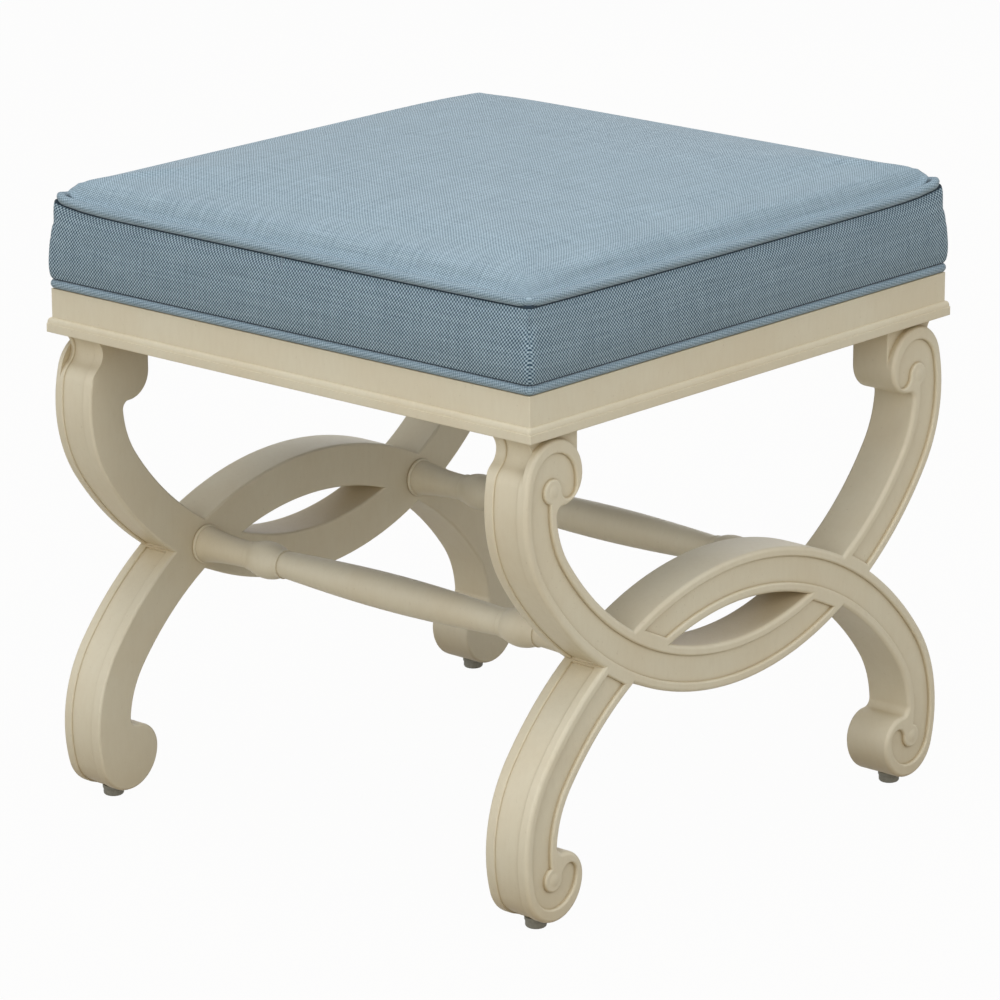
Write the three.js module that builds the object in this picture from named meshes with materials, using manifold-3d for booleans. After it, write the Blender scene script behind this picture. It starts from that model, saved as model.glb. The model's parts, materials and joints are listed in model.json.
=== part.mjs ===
// A vanity stool: a boxed cushion on a painted apron, carried by two frames of crossed, scrolled members.
// Millimetres. X runs left to right, Y front to back, Z up from the floor, with the origin under the middle.

import * as THREE from "three";
import { mergeVertices } from "three/addons/utils/BufferGeometryUtils.js";
import Module from "manifold-3d";

const wasm = await Module();
wasm.setup();

// Whole stool
const stool_width = 480; // over the apron rails, left to right
const stool_depth = 480; // over the apron rails, front to back
const apron_underside = 373; // height above the floor
const apron_height = 34;

// Curved members, seen from the front
const arch_height = 236; // top of the lower members in the middle, above the floor
const lens_height = 28; // gap in the middle, under the lower members and over the upper ones
const arm_width = 35; // across a member, seen from the front
const arm_depth = 40; // from the front of a member to its back
const arm_inset = 2; // front of the members behind the face of the apron
const leg_overhang = 2.5; // widest part of the legs outside the face of the apron
const side_radius = 110; // outer edge of the legs where they are widest
const upper_widest_drop = 55; // below the apron's underside
const lower_widest_height = 60; // above the floor

// Scrolls
const scroll_radius = 30;
const scroll_tip_radius = 21;
const scroll_fillet = 6; // between the scroll's underside and the inner edge of the leg
const scroll_drop = 3.6; // top of the upper scrolls below the apron's underside
const foot_flat_cut = 0.6; // depth of the flat under each foot scroll

// Carving of the members
const rim_width = 7.5; // raised rim along both edges of the face
const recess_depth = 1.8;
const recess_setback = 3.5; // from the recess's squared end to the joint
const volute_rim = 10.5; // rim over the scroll's recess
const volute_radius = 23; // outer edge of the scroll's recess
const eye_radius = 9.3; // button in the scroll's middle
const upper_eye_drop = 8; // towards the leg, from the scroll's centre
const lower_eye_drop = 3;
const eye_shift = 2.5; // outwards, from the scroll's centre
const strip_width = 8; // raised strip along both edges of the outer side
const panel_depth = 1.2; // sunk panel between those strips
const panel_margin = 5; // from the panel's end to the crossing
const butt_gap = 0.3; // glue line where one member ends against another

// Necks that join the upper scrolls to the apron
const neck_setback = 6; // behind the front of the scroll
const neck_spread = 24.5; // from the scroll's centre to the neck's inner top corner
const cove_offset = 31; // from the scroll's centre outwards to the cove's centre
const cove_drop = 14.5; // cove's centre below the apron's underside
const cove_radius = 16.5;

// Apron
const rail_thickness = 22;
const lip_height = 11.4;
const lip_projection = 3.15;
const mitre_gap = 0.15; // glue line at each mitred end, and the seams of the boxing
const block_reach = 70; // corner block along each rail
const block_end = 26; // corner block across, at its ends
const block_height = 28;

// Fastenings
const bolt_radius = 3;
const bolt_head_radius = 6;
const bolt_head_height = 4;
const bolt_grip = 24; // length inside the neck
const bolt_side_setback = 32; // from the apron's rear or front face to the bolt
const bolt_end_setback = 36; // from the apron's side face to the bolt
const screw_radius = 2.2;
const screw_head_radius = 4.2;
const screw_head_height = 2.4;
const screw_bite = 8; // length inside the seat board
const screw_setback = 49; // from the faces of the apron
const dowel_radius = 4;
const dowel_length = 28;
const dowel_setback = 15; // from the front of the members to the dowels
const fit = 0.15; // clearance round dowels, tenons, bolts, screws and nails

// Stretchers, turned, from the middle towards an end
const stretcher_belly_radius = 14.2;
const stretcher_waist_radius = 10.4;
const bead_radius = 14.6;
const bead_length = 28;
const bead_setback = 54; // from the bead's middle to the member's back
const bead_fillet_radius = 11.4; // small steps on both sides of the bead
const bead_fillet_length = 4;
const trumpet_radius = 14.2; // flared end
const flange_radius = 15.6;
const flange_thickness = 3;
const tenon_radius = 8;
const tenon_length = 16;

// Glides under the feet
const glide_height = 8.5;
const glide_radius = 8.6;
const glide_rounding = 2;
const nail_radius = 1.3;
const nail_head_radius = 3.6;
const nail_head_height = 1.4;
const nail_length = 24; // from the top of the head
const nail_cover = 3; // glide below the nail's head

// Seat
const board_thickness = 12;
const board_inset = 9; // behind the face of the apron
const board_corner = 6;
const dust_cover_thickness = 0.8;
const dust_cover_margin = 3; // from the rails
const cloth_thickness = 1.5;
const clearance = 0.3; // between soft pieces and what they lie on
const bottom_welt_radius = 3.4;
const bottom_welt_inset = 2; // its centre behind the face of the apron
const boxing_height = 54;
const boxing_foot_inset = 0.5; // behind the face of the apron
const boxing_head_inset = 1.5;
const boxing_bulge = 3.9; // how far the boxing swells
const boxing_foot_corner = 5;
const boxing_head_corner = 7;
const corner_ease = 3; // how much rounder the top welt turns its corners than the boxing
const top_welt_radius = 4.4;
const top_welt_overhang = 0.7; // past the boxing's upper edge
const puff_height = 16; // steep swelling beside the top welt
const puff_reach = 4; // distance over which it swells
const crown_rise = 9.5; // gentle dome in the middle
const foam_shoulder = 6; // foam's edge below the boxing's upper edge

// Counts and shares
const corner_steps = 6; // facets round a corner of the cushion, an even number
const side_steps = 5; // facets along a side of the cushion
const boxing_steps = 6; // facets up the boxing
const welt_sides = 8;
const dowel_sides = 8;
const screw_sides = 8;
const bore_sides = 10;
const glide_sides = 12;
const glide_steps = 2; // facets round the glide's edges
const stretcher_sides = 14;
const stretcher_steps = 4; // facets along each curve of the stretcher
const facet_sag = 0.22; // how far a facet may lie inside its arc
const overrun = 4; // how far cutters reach past what they cut
const bulge_lean_share = 0.55; // below 1, the boxing swells most in its lower half
const corner_drop_share = 0.25; // how much less the crown swells at the corners
const corner_drop_power = 6;
const neck_turn_share = 0.74; // of half a turn, where the neck's inner side leaves the scroll
const trumpet_power = 2.2; // how late the stretcher's end flares
const crown_ring_shares = [1, 0.99, 0.975, 0.95, 0.9, 0.72, 0.4];
// Outline of the lip: share of the projection, share of the height.
const lip_shares = [
  [0, 0],
  [0.72, 0],
  [0.93, 0.05],
  [1, 0.13],
  [1, 0.58],
  [0.76, 0.66],
  [0.7, 0.82],
  [0.45, 0.94],
  [0.2, 1],
  [0, 1],
];

// Heights and places that follow from the sizes
const apron_top = apron_underside + apron_height;
const bowl_height = arch_height - 2 * arm_width - lens_height; // underside of the upper members
const member_front = stool_depth / 2 - arm_inset; // distance of the members' faces from the middle
const member_back = member_front - arm_depth;
const board_top = apron_top + board_thickness;
const bottom_welt_z = apron_top + clearance + bottom_welt_radius;
const boxing_foot = bottom_welt_z + bottom_welt_radius + clearance;
const boxing_head = boxing_foot + boxing_height;
const top_welt_z = boxing_head + clearance + top_welt_radius;
const top_welt_inset = boxing_head_inset - top_welt_overhang + top_welt_radius;
const cover_inset = top_welt_inset + top_welt_radius + clearance;
const top_welt_corner = boxing_head_corner + corner_ease;
const cover_corner = top_welt_corner - top_welt_radius - clearance;

// Finishes
const painted_wood = { color: 0xd8cfb0, roughness: 0.55, metalness: 0 };
const bare_wood = { color: 0xc9a878, roughness: 0.8, metalness: 0 };
const blue_cloth = { color: 0x8fb0c2, roughness: 0.95, metalness: 0 };
const boxing_cloth = { color: 0x6f92a6, roughness: 0.95, metalness: 0 };
const black_cloth = { color: 0x2a2a2c, roughness: 1, metalness: 0 };
const foam = { color: 0xe9dfb8, roughness: 1, metalness: 0 };
const steel = { color: 0xa8abad, roughness: 0.4, metalness: 1 };
const grey_plastic = { color: 0x8b8b80, roughness: 0.6, metalness: 0 };

const stool = new THREE.Group();

function addPiece(name, geometry, finish) {
  const piece = new THREE.Mesh(geometry, new THREE.MeshStandardMaterial(finish));
  piece.name = name;
  stool.add(piece);
  return piece;
}

// Even shares from 0 to 1.
function shareSteps(steps) {
  return Array.from({ length: steps + 1 }, (_, i) => i / steps);
}

// Joins and cuts

function toSolid(geometry) {
  const bare = geometry.clone();
  bare.deleteAttribute("normal");
  bare.deleteAttribute("uv");
  const merged = mergeVertices(bare);
  return new wasm.Manifold(
    new wasm.Mesh({
      numProp: 3,
      vertProperties: merged.attributes.position.array,
      triVerts: new Uint32Array(merged.index.array),
    }),
  );
}

function toGeometry(solid) {
  const mesh = solid.getMesh();
  const geometry = new THREE.BufferGeometry();
  geometry.setAttribute("position", new THREE.BufferAttribute(mesh.vertProperties, 3));
  geometry.setIndex(new THREE.BufferAttribute(mesh.triVerts, 1));
  return geometry;
}

function cutFrom(geometry, cutters) {
  let solid = toSolid(geometry);
  for (const cutter of cutters) solid = solid.subtract(toSolid(cutter));
  return toGeometry(solid);
}

function joinOf(geometry, other) {
  return toGeometry(toSolid(geometry).add(toSolid(other)));
}

// Round pieces and bores

// A cylinder about a centre, with its axis along a direction.
function rod(radius, length, sides, centre, axis) {
  const geometry = new THREE.CylinderGeometry(radius, radius, length, sides);
  const upright = new THREE.Vector3(0, 1, 0);
  geometry.applyQuaternion(new THREE.Quaternion().setFromUnitVectors(upright, axis));
  return geometry.translate(centre.x, centre.y, centre.z);
}

// A bore whose facets lie outside the round piece that fits in it.
function bore(radius, length, centre, axis) {
  const outside = (radius + fit) / Math.cos(Math.PI / bore_sides);
  return rod(outside, length, bore_sides, centre, axis);
}

// An upright bore between two heights.
function uprightBore(radius, place, bottom, top) {
  const centre = new THREE.Vector3(place.x, place.y, (bottom + top) / 2);
  return bore(radius, top - bottom, centre, new THREE.Vector3(0, 0, 1));
}

// A turned piece that stands upright, from its profile of radius and height.
function turned(profile, sides) {
  const points = profile.map(([radius, height]) => new THREE.Vector2(radius, height));
  return new THREE.LatheGeometry(points, sides).rotateX(Math.PI / 2);
}

// Outlines made of arcs

function direction(from, to) {
  return Math.atan2(to.y - from.y, to.x - from.x);
}

function polar(centre, radius, angle) {
  return new THREE.Vector2(
    centre.x + radius * Math.cos(angle),
    centre.y + radius * Math.sin(angle),
  );
}

// Adds an arc's points, all but the last, which the next arc or line starts with.
function addArc(points, centre, radius, from, to) {
  const facet = 2 * Math.acos(1 - facet_sag / radius);
  const count = Math.ceil(Math.abs(to - from) / facet);
  for (let i = 0; i < count; i++) {
    points.push(polar(centre, radius, from + ((to - from) * i) / count));
  }
}

// The point where two circles meet, to the right of the line from the first centre to the second.
function meeting(first, first_radius, second, second_radius) {
  const apart = first.distanceTo(second);
  const along = (apart ** 2 + first_radius ** 2 - second_radius ** 2) / (2 * apart);
  const across = Math.sqrt(first_radius ** 2 - along ** 2);
  return polar(first, first_radius, direction(first, second) - Math.atan2(across, along));
}

// The centre, at a given height, of an arc that runs on smoothly from the arc about another centre.
function centreInside(centre, apart, height) {
  return new THREE.Vector2(centre.x + Math.sqrt(apart ** 2 - (height - centre.y) ** 2), height);
}

// Curved members

// A member is described from the middle of its outer edge: x outwards, y towards its scroll.
function makeMember(crown, up, span, widest, eye_drop) {
  const side = new THREE.Vector2(stool_width / 2 + leg_overhang - side_radius, widest);
  const bow_radius = (side.lengthSq() - side_radius ** 2) / (2 * (side.y - side_radius));
  const bow = new THREE.Vector2(0, bow_radius);
  const scroll = centreInside(side, side_radius - scroll_radius, span - scroll_radius);
  const tip = new THREE.Vector2(scroll.x - scroll_radius + scroll_tip_radius, scroll.y);
  const volute_apart = side_radius - rim_width - volute_radius;
  const volute = centreInside(side, volute_apart, span - volute_rim - volute_radius);
  const eye = new THREE.Vector2(scroll.x + eye_shift, scroll.y - eye_drop);
  const bow_end = direction(bow, side);
  return { crown, up, span, bow, bow_radius, bow_end, side, scroll, tip, volute, eye };
}

const upper = makeMember(
  bowl_height,
  1,
  apron_underside - scroll_drop - bowl_height,
  apron_underside - upper_widest_drop - bowl_height,
  upper_eye_drop,
);
const lower = makeMember(
  arch_height,
  -1,
  arch_height - glide_height + foot_flat_cut,
  arch_height - lower_widest_height,
  lower_eye_drop,
);

// The angle, about a member's bow, at which a line of it meets a line of the other member's bow.
function crossing(member, radius, other, other_radius) {
  const apart = member.bow_radius + other.bow_radius - (arch_height - bowl_height);
  const along = (apart ** 2 + radius ** 2 - other_radius ** 2) / (2 * apart);
  return Math.acos(along / radius) - Math.PI / 2;
}

// The angle where the middle lines of both members cross.
function middleCrossing(member, other) {
  const half_arm = arm_width / 2;
  return crossing(member, member.bow_radius - half_arm, other, other.bow_radius - half_arm);
}

// The same angle on the other side of the stool's middle.
function mirrored(angle) {
  return -Math.PI - angle;
}

// The outline of a member. A long one crosses the middle and a short one starts outside the crossing.
function memberOutline(member, other, long) {
  const points = [];
  const inner_bow = member.bow_radius - arm_width;
  const edge = long ? other.bow_radius - arm_width - butt_gap : other.bow_radius + butt_gap;
  const outer_angle = crossing(member, member.bow_radius, other, edge);
  const inner_angle = crossing(member, inner_bow, other, edge);
  const outer_start = long ? mirrored(outer_angle) : outer_angle;
  const inner_start = long ? mirrored(inner_angle) : inner_angle;
  const side_end = direction(member.side, member.scroll);
  const inner_side = side_radius - arm_width;
  const fillet = meeting(
    member.side,
    inner_side - scroll_fillet,
    member.tip,
    scroll_tip_radius + scroll_fillet,
  );
  const tip_end = direction(member.tip, fillet) + 2 * Math.PI;
  const fillet_end = direction(member.side, fillet);
  const other_bow = new THREE.Vector2(0, arch_height - bowl_height - other.bow_radius);
  const butt_from = direction(other_bow, polar(member.bow, inner_bow, inner_start));
  const butt_to = direction(other_bow, polar(member.bow, member.bow_radius, outer_start));
  addArc(points, member.bow, member.bow_radius, outer_start, member.bow_end);
  addArc(points, member.side, side_radius, member.bow_end, side_end);
  addArc(points, member.scroll, scroll_radius, side_end, Math.PI);
  addArc(points, member.tip, scroll_tip_radius, Math.PI, tip_end);
  addArc(points, fillet, scroll_fillet, tip_end - Math.PI, fillet_end);
  addArc(points, member.side, inner_side, fillet_end, member.bow_end);
  addArc(points, member.bow, inner_bow, member.bow_end, inner_start);
  addArc(points, other_bow, edge, butt_from, butt_to);
  return points;
}

// The sunk part of the face: it follows both rims, runs over the eye and stops beside the scroll's tip.
// It ends squared, a little before the joint.
function recessOutline(member, other, long) {
  const points = [];
  const outer_bow = member.bow_radius - rim_width;
  const inner_bow = member.bow_radius - arm_width + rim_width;
  const inner_edge = other.bow_radius - arm_width;
  const edge = long ? inner_edge - recess_setback : other.bow_radius + recess_setback;
  const outer_angle = crossing(member, outer_bow, other, edge);
  const inner_angle = crossing(member, inner_bow, other, edge);
  const outer_start = long ? mirrored(outer_angle) : outer_angle;
  const inner_start = long ? mirrored(inner_angle) : inner_angle;
  const inner_side = side_radius - arm_width + rim_width;
  const volute_start = direction(member.side, member.volute);
  const eye_end = meeting(member.side, inner_side, member.eye, eye_radius);
  addArc(points, member.bow, outer_bow, outer_start, member.bow_end);
  addArc(points, member.side, side_radius - rim_width, member.bow_end, volute_start);
  addArc(points, member.volute, volute_radius, volute_start, Math.PI);
  points.push(polar(member.volute, volute_radius, Math.PI));
  addArc(points, member.eye, eye_radius, Math.PI, direction(member.eye, eye_end));
  addArc(points, member.side, inner_side, direction(member.side, eye_end), member.bow_end);
  addArc(points, member.bow, inner_bow, member.bow_end, inner_start);
  points.push(polar(member.bow, inner_bow, inner_start));
  return points;
}

// A sunk panel in the outer side, from outside the crossing to the scroll.
function sidePanelOutline(member, other) {
  const points = [];
  const start = crossing(member, member.bow_radius, other, other.bow_radius);
  const from = start + panel_margin / member.bow_radius;
  const side_end = direction(member.side, member.scroll);
  const deep = member.bow_radius - panel_depth;
  addArc(points, member.bow, member.bow_radius + overrun, from, member.bow_end);
  addArc(points, member.side, side_radius + overrun, member.bow_end, side_end);
  points.push(polar(member.side, side_radius + overrun, side_end));
  addArc(points, member.side, side_radius - panel_depth, side_end, member.bow_end);
  addArc(points, member.bow, deep, member.bow_end, from);
  points.push(polar(member.bow, deep, from));
  return points;
}

// Where a point of a member lies, seen from the front, on the left (-1) or the right (1).
function placed(member, side, point) {
  return new THREE.Vector2(side * point.x, member.crown + member.up * point.y);
}

// A slab of an outline in a member's own terms, between two distances in front of or behind the middle.
function memberSlab(member, side, facing, points, near, far) {
  const shape = new THREE.Shape(points.map((point) => placed(member, side, point)));
  const slab = new THREE.ExtrudeGeometry(shape, { depth: far - near, bevelEnabled: false });
  slab.rotateX(Math.PI / 2);
  slab.translate(0, facing < 0 ? -near : far, 0);
  return slab;
}

// The neck behind an upper scroll, up to the apron, before its cove is cut.
function neckOutline(member) {
  return [
    member.scroll,
    new THREE.Vector2(member.scroll.x + cove_offset, apron_underside - member.crown),
    new THREE.Vector2(member.scroll.x - neck_spread, apron_underside - member.crown),
    polar(member.scroll, scroll_radius, Math.PI * neck_turn_share),
  ];
}

function coveOutline(member) {
  const points = [];
  const height = apron_underside - member.crown - cove_drop;
  const centre = new THREE.Vector2(member.scroll.x + cove_offset, height);
  addArc(points, centre, cove_radius, 0, 2 * Math.PI);
  return points;
}

// What the flat under a foot takes off.
function footFlatOutline(member) {
  const floor = arch_height - glide_height;
  return [
    new THREE.Vector2(member.scroll.x - scroll_radius, floor),
    new THREE.Vector2(member.scroll.x + scroll_radius, floor),
    new THREE.Vector2(member.scroll.x + scroll_radius, floor + overrun),
    new THREE.Vector2(member.scroll.x - scroll_radius, floor + overrun),
  ];
}

// The centre and direction of the dowel in a member's butt joint.
function dowelPlace(member, other, long, side, facing) {
  const middle_line = member.bow_radius - arm_width / 2;
  const edge = long ? other.bow_radius - arm_width : other.bow_radius;
  const angle = crossing(member, middle_line, other, edge);
  const turn = long ? mirrored(angle) : angle;
  const at = placed(member, side, polar(member.bow, middle_line, turn));
  const axis = new THREE.Vector3(-side * Math.sin(turn), 0, member.up * Math.cos(turn));
  const setback = member_front - dowel_setback;
  return { centre: new THREE.Vector3(at.x, facing * setback, at.y), axis };
}

function dowelBore(place) {
  return bore(dowel_radius, dowel_length + 2 * fit, place.centre, place.axis);
}

// Where the middle lines cross, seen from the front, on the right.
const joint_place = placed(
  upper,
  1,
  polar(upper.bow, upper.bow_radius - arm_width / 2, middleCrossing(upper, lower)),
);

function tenonBore(side, facing) {
  const length = tenon_length + fit + overrun;
  const middle = facing * (member_back + tenon_length + fit - length / 2);
  const centre = new THREE.Vector3(side * joint_place.x, middle, joint_place.y);
  return bore(tenon_radius, length, centre, new THREE.Vector3(0, 1, 0));
}

// A member with its scroll, neck or foot flat, and its carving.
function carvedMember(member, other, long, side, facing) {
  const slab = (points, near, far) => memberSlab(member, side, facing, points, near, far);
  const face = member_front - recess_depth;
  const cutters = [
    slab(recessOutline(member, other, long), face, member_front + overrun),
    slab(
      sidePanelOutline(member, other),
      member_back + strip_width,
      member_front - strip_width,
    ),
  ];
  let body = slab(memberOutline(member, other, long), member_back, member_front);
  if (member === upper) {
    const neck_front = member_front - neck_setback;
    body = joinOf(body, slab(neckOutline(member), member_back, neck_front));
    cutters.push(slab(coveOutline(member), member_back - overrun, neck_front));
  } else {
    cutters.push(slab(footFlatOutline(member), member_back - overrun, member_front + overrun));
  }
  return cutFrom(body, cutters);
}

function boltPlace(side, facing) {
  return new THREE.Vector2(
    side * (stool_width / 2 - bolt_end_setback),
    facing * (stool_depth / 2 - bolt_side_setback),
  );
}

function neckBore(side, facing) {
  const bottom = apron_underside - bolt_grip - fit;
  return uprightBore(bolt_radius, boltPlace(side, facing), bottom, apron_underside + overrun);
}

function glidePlace(side, facing) {
  return new THREE.Vector2(side * lower.scroll.x, facing * (member_front - arm_depth / 2));
}

function footBore(side, facing) {
  const top = nail_cover + nail_head_height + nail_length + 2 * fit;
  return uprightBore(nail_radius, glidePlace(side, facing), glide_height - overrun, top);
}

// One crossed frame: the upper member runs through on the left and the lower one on the right.
function addFrame(name, facing) {
  const joints = [
    dowelPlace(upper, lower, true, -1, facing),
    dowelPlace(upper, lower, false, 1, facing),
    dowelPlace(lower, upper, true, 1, facing),
    dowelPlace(lower, upper, false, -1, facing),
  ];
  const bores = joints.map(dowelBore);
  const pieces = {
    upper_long: cutFrom(carvedMember(upper, lower, true, -1, facing), [
      bores[0],
      bores[2],
      bores[3],
      tenonBore(-1, facing),
      neckBore(-1, facing),
    ]),
    upper_short: cutFrom(carvedMember(upper, lower, false, 1, facing), [
      bores[1],
      neckBore(1, facing),
    ]),
    lower_long: cutFrom(carvedMember(lower, upper, true, 1, facing), [
      bores[0],
      bores[1],
      bores[2],
      tenonBore(1, facing),
      footBore(1, facing),
    ]),
    lower_short: cutFrom(carvedMember(lower, upper, false, -1, facing), [
      bores[3],
      footBore(-1, facing),
    ]),
  };
  for (const [piece, geometry] of Object.entries(pieces)) {
    addPiece(`${name}_${piece}_member`, geometry, painted_wood);
  }
  joints.forEach((joint, i) => {
    const geometry = rod(dowel_radius, dowel_length, dowel_sides, joint.centre, joint.axis);
    addPiece(`${name}_dowel_${i + 1}`, geometry, bare_wood);
  });
}

// Stretchers

// Radius and distance from the middle, out to one end.
function stretcherHalf() {
  const bead_middle = member_back - bead_setback;
  const bead_start = bead_middle - bead_length / 2;
  const bead_end = bead_middle + bead_length / 2;
  const belly_end = bead_start - bead_fillet_length;
  const trumpet_start = bead_end + bead_fillet_length;
  const trumpet_end = member_back - flange_thickness;
  const shares = shareSteps(stretcher_steps);
  const swell = stretcher_belly_radius - stretcher_waist_radius;
  const flare = trumpet_radius - stretcher_waist_radius;
  const round = bead_radius - bead_fillet_radius;
  return [
    ...shares.map((share) => [
      stretcher_waist_radius + swell * Math.cos((Math.PI / 2) * share),
      belly_end * share,
    ]),
    [bead_fillet_radius, belly_end],
    ...shares.map((share) => [
      bead_fillet_radius + round * Math.sin(Math.PI * share),
      bead_start + bead_length * share,
    ]),
    [bead_fillet_radius, trumpet_start],
    ...shares.map((share) => [
      stretcher_waist_radius + flare * share ** trumpet_power,
      trumpet_start + (trumpet_end - trumpet_start) * share,
    ]),
    [flange_radius, trumpet_end],
    [flange_radius, member_back],
    [tenon_radius, member_back],
    [tenon_radius, member_back + tenon_length],
    [0, member_back + tenon_length],
  ];
}

function addStretchers() {
  const half = stretcherHalf();
  const other_half = half.slice(1).map(([radius, distance]) => [radius, -distance]);
  const profile = [...other_half.reverse(), ...half].map((point) => new THREE.Vector2(...point));
  for (const [name, side] of [["left", -1], ["right", 1]]) {
    const geometry = new THREE.LatheGeometry(profile, stretcher_sides);
    const piece = addPiece(`${name}_stretcher`, geometry, painted_wood);
    piece.position.set(side * joint_place.x, 0, joint_place.y);
  }
}

// Glides and their nails

function glideProfile() {
  const shares = shareSteps(glide_steps);
  const edge = glide_radius - glide_rounding;
  const cavity = nail_head_radius + fit;
  const cavity_top = nail_cover + nail_head_height + 2 * fit;
  return [
    [0, 0],
    ...shares.map((share) => [
      edge + glide_rounding * Math.sin((Math.PI / 2) * share),
      glide_rounding - glide_rounding * Math.cos((Math.PI / 2) * share),
    ]),
    [glide_radius, glide_height],
    [nail_radius + fit, glide_height],
    [nail_radius + fit, cavity_top],
    [cavity, cavity_top],
    [cavity, nail_cover],
    [0, nail_cover],
  ];
}

function nailProfile() {
  const head_bottom = nail_cover + fit;
  const head_top = head_bottom + nail_head_height;
  return [
    [0, head_bottom],
    [nail_head_radius, head_bottom],
    [nail_head_radius, head_top],
    [nail_radius, head_top],
    [nail_radius, head_top + nail_length],
    [0, head_top + nail_length],
  ];
}

const corners = [
  ["front_left", -1, -1],
  ["front_right", 1, -1],
  ["rear_left", -1, 1],
  ["rear_right", 1, 1],
];

function addFeet() {
  for (const [name, side, facing] of corners) {
    const place = glidePlace(side, facing);
    const glide = addPiece(`${name}_glide`, turned(glideProfile(), glide_sides), grey_plastic);
    glide.position.set(place.x, place.y, 0);
    const nail = addPiece(`${name}_glide_nail`, turned(nailProfile(), screw_sides), steel);
    nail.position.set(place.x, place.y, 0);
  }
}

// Rings of points, joined into closed bodies

const sides = ["front", "right", "rear", "left"];

// Half of the apron's length along a side, and its distance from the middle.
function halfAlong(side) {
  return (side % 2 ? stool_depth : stool_width) / 2;
}

function halfOut(side) {
  return halfAlong(side + 1);
}

// A point on one side of the stool: along it, out from the middle, and its height.
function onSide(side, along, out, height) {
  const [x, y] = [[along, -out], [out, along], [-along, out], [-out, -along]][side];
  return new THREE.Vector3(x, y, height);
}

// Joins rings that run anticlockwise and rise on their outer side. Rings may be open or closed, and the
// last ring may join the first. Whatever stays open is capped.
function joined(rings, ring_closed, loop_closed) {
  const count = rings[0].length;
  const last = rings.length - 1;
  const points = rings.flat();
  const positions = points.flatMap((point) => point.toArray());
  const index = [];
  const at = (ring, i) => (ring % rings.length) * count + (i % count);
  // Four corners are split along the shorter way across, so that surfaces that lie close split alike.
  const addFour = (a, b, c, d) => {
    const across = points[a].distanceTo(points[c]) < points[b].distanceTo(points[d]);
    index.push(...(across ? [a, b, c, a, c, d] : [a, b, d, b, c, d]));
  };
  for (let ring = 0; ring < last + (loop_closed ? 1 : 0); ring++) {
    for (let i = 0; i < count - (ring_closed ? 0 : 1); i++) {
      addFour(at(ring, i), at(ring, i + 1), at(ring + 1, i + 1), at(ring + 1, i));
    }
  }
  if (!ring_closed) {
    for (let ring = 0; ring < (last - 1) / 2; ring++) {
      const [a, b, c, d] = [ring, ring + 1, last - ring - 1, last - ring];
      addFour(at(a, 0), at(b, 0), at(c, 0), at(d, 0));
      addFour(at(d, count - 1), at(c, count - 1), at(b, count - 1), at(a, count - 1));
    }
  }
  if (!loop_closed) {
    for (const ring of [0, last]) {
      const middle = new THREE.Vector3();
      for (const point of rings[ring]) middle.addScaledVector(point, 1 / count);
      positions.push(...middle.toArray());
      const centre = positions.length / 3 - 1;
      for (let i = 0; i < count; i++) {
        const [a, b] = [at(ring, i), at(ring, i + 1)];
        index.push(centre, ring ? a : b, ring ? b : a);
      }
    }
  }
  const geometry = new THREE.BufferGeometry();
  geometry.setAttribute("position", new THREE.Float32BufferAttribute(positions, 3));
  geometry.setIndex(index);
  return geometry;
}

// Apron

// A bar along one side with mitred ends, from its profile of insets and heights.
function mitredBar(side, profile) {
  const rings = profile.map(([inset, height]) => {
    const along = halfAlong(side) - inset - mitre_gap;
    const out = halfOut(side) - inset;
    return [onSide(side, -along, out, height), onSide(side, along, out, height)];
  });
  return joined(rings, false, true);
}

function addApron() {
  const rail = [
    [0, apron_underside],
    [0, apron_top],
    [rail_thickness, apron_top],
    [rail_thickness, apron_underside],
  ];
  const lip = lip_shares.map(([out, up]) => [
    -lip_projection * out,
    apron_underside + lip_height * up,
  ]);
  sides.forEach((name, side) => {
    addPiece(`${name}_apron_rail`, mitredBar(side, rail), painted_wood);
    addPiece(`${name}_lip_moulding`, mitredBar(side, lip), painted_wood);
  });
}

function screwPlace(side, facing) {
  return new THREE.Vector2(
    side * (stool_width / 2 - screw_setback),
    facing * (stool_depth / 2 - screw_setback),
  );
}

function screwBore(side, facing) {
  const top = apron_top + screw_bite + fit;
  return uprightBore(screw_radius, screwPlace(side, facing), apron_underside - overrun, top);
}

function cornerBlock(side, facing) {
  const x = stool_width / 2 - rail_thickness - fit;
  const y = stool_depth / 2 - rail_thickness - fit;
  const outline = [
    [x, y],
    [x - block_reach, y],
    [x - block_reach, y - block_end],
    [x - block_end, y - block_reach],
    [x, y - block_reach],
  ].map(([px, py]) => new THREE.Vector2(side * px, facing * py));
  const block = new THREE.ExtrudeGeometry(new THREE.Shape(outline), {
    depth: block_height,
    bevelEnabled: false,
  });
  block.translate(0, 0, apron_underside);
  const bottom = apron_underside - overrun;
  const top = apron_underside + block_height + overrun;
  return cutFrom(block, [
    uprightBore(bolt_radius, boltPlace(side, facing), bottom, top),
    screwBore(side, facing),
  ]);
}

function boltProfile() {
  const seat = apron_underside + block_height;
  return [
    [0, apron_underside - bolt_grip],
    [bolt_radius, apron_underside - bolt_grip],
    [bolt_radius, seat],
    [bolt_head_radius, seat],
    [bolt_head_radius, seat + bolt_head_height],
    [0, seat + bolt_head_height],
  ];
}

function screwProfile() {
  return [
    [0, apron_underside - screw_head_height],
    [screw_head_radius, apron_underside - screw_head_height],
    [screw_head_radius, apron_underside],
    [screw_radius, apron_underside],
    [screw_radius, apron_top + screw_bite],
    [0, apron_top + screw_bite],
  ];
}

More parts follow.
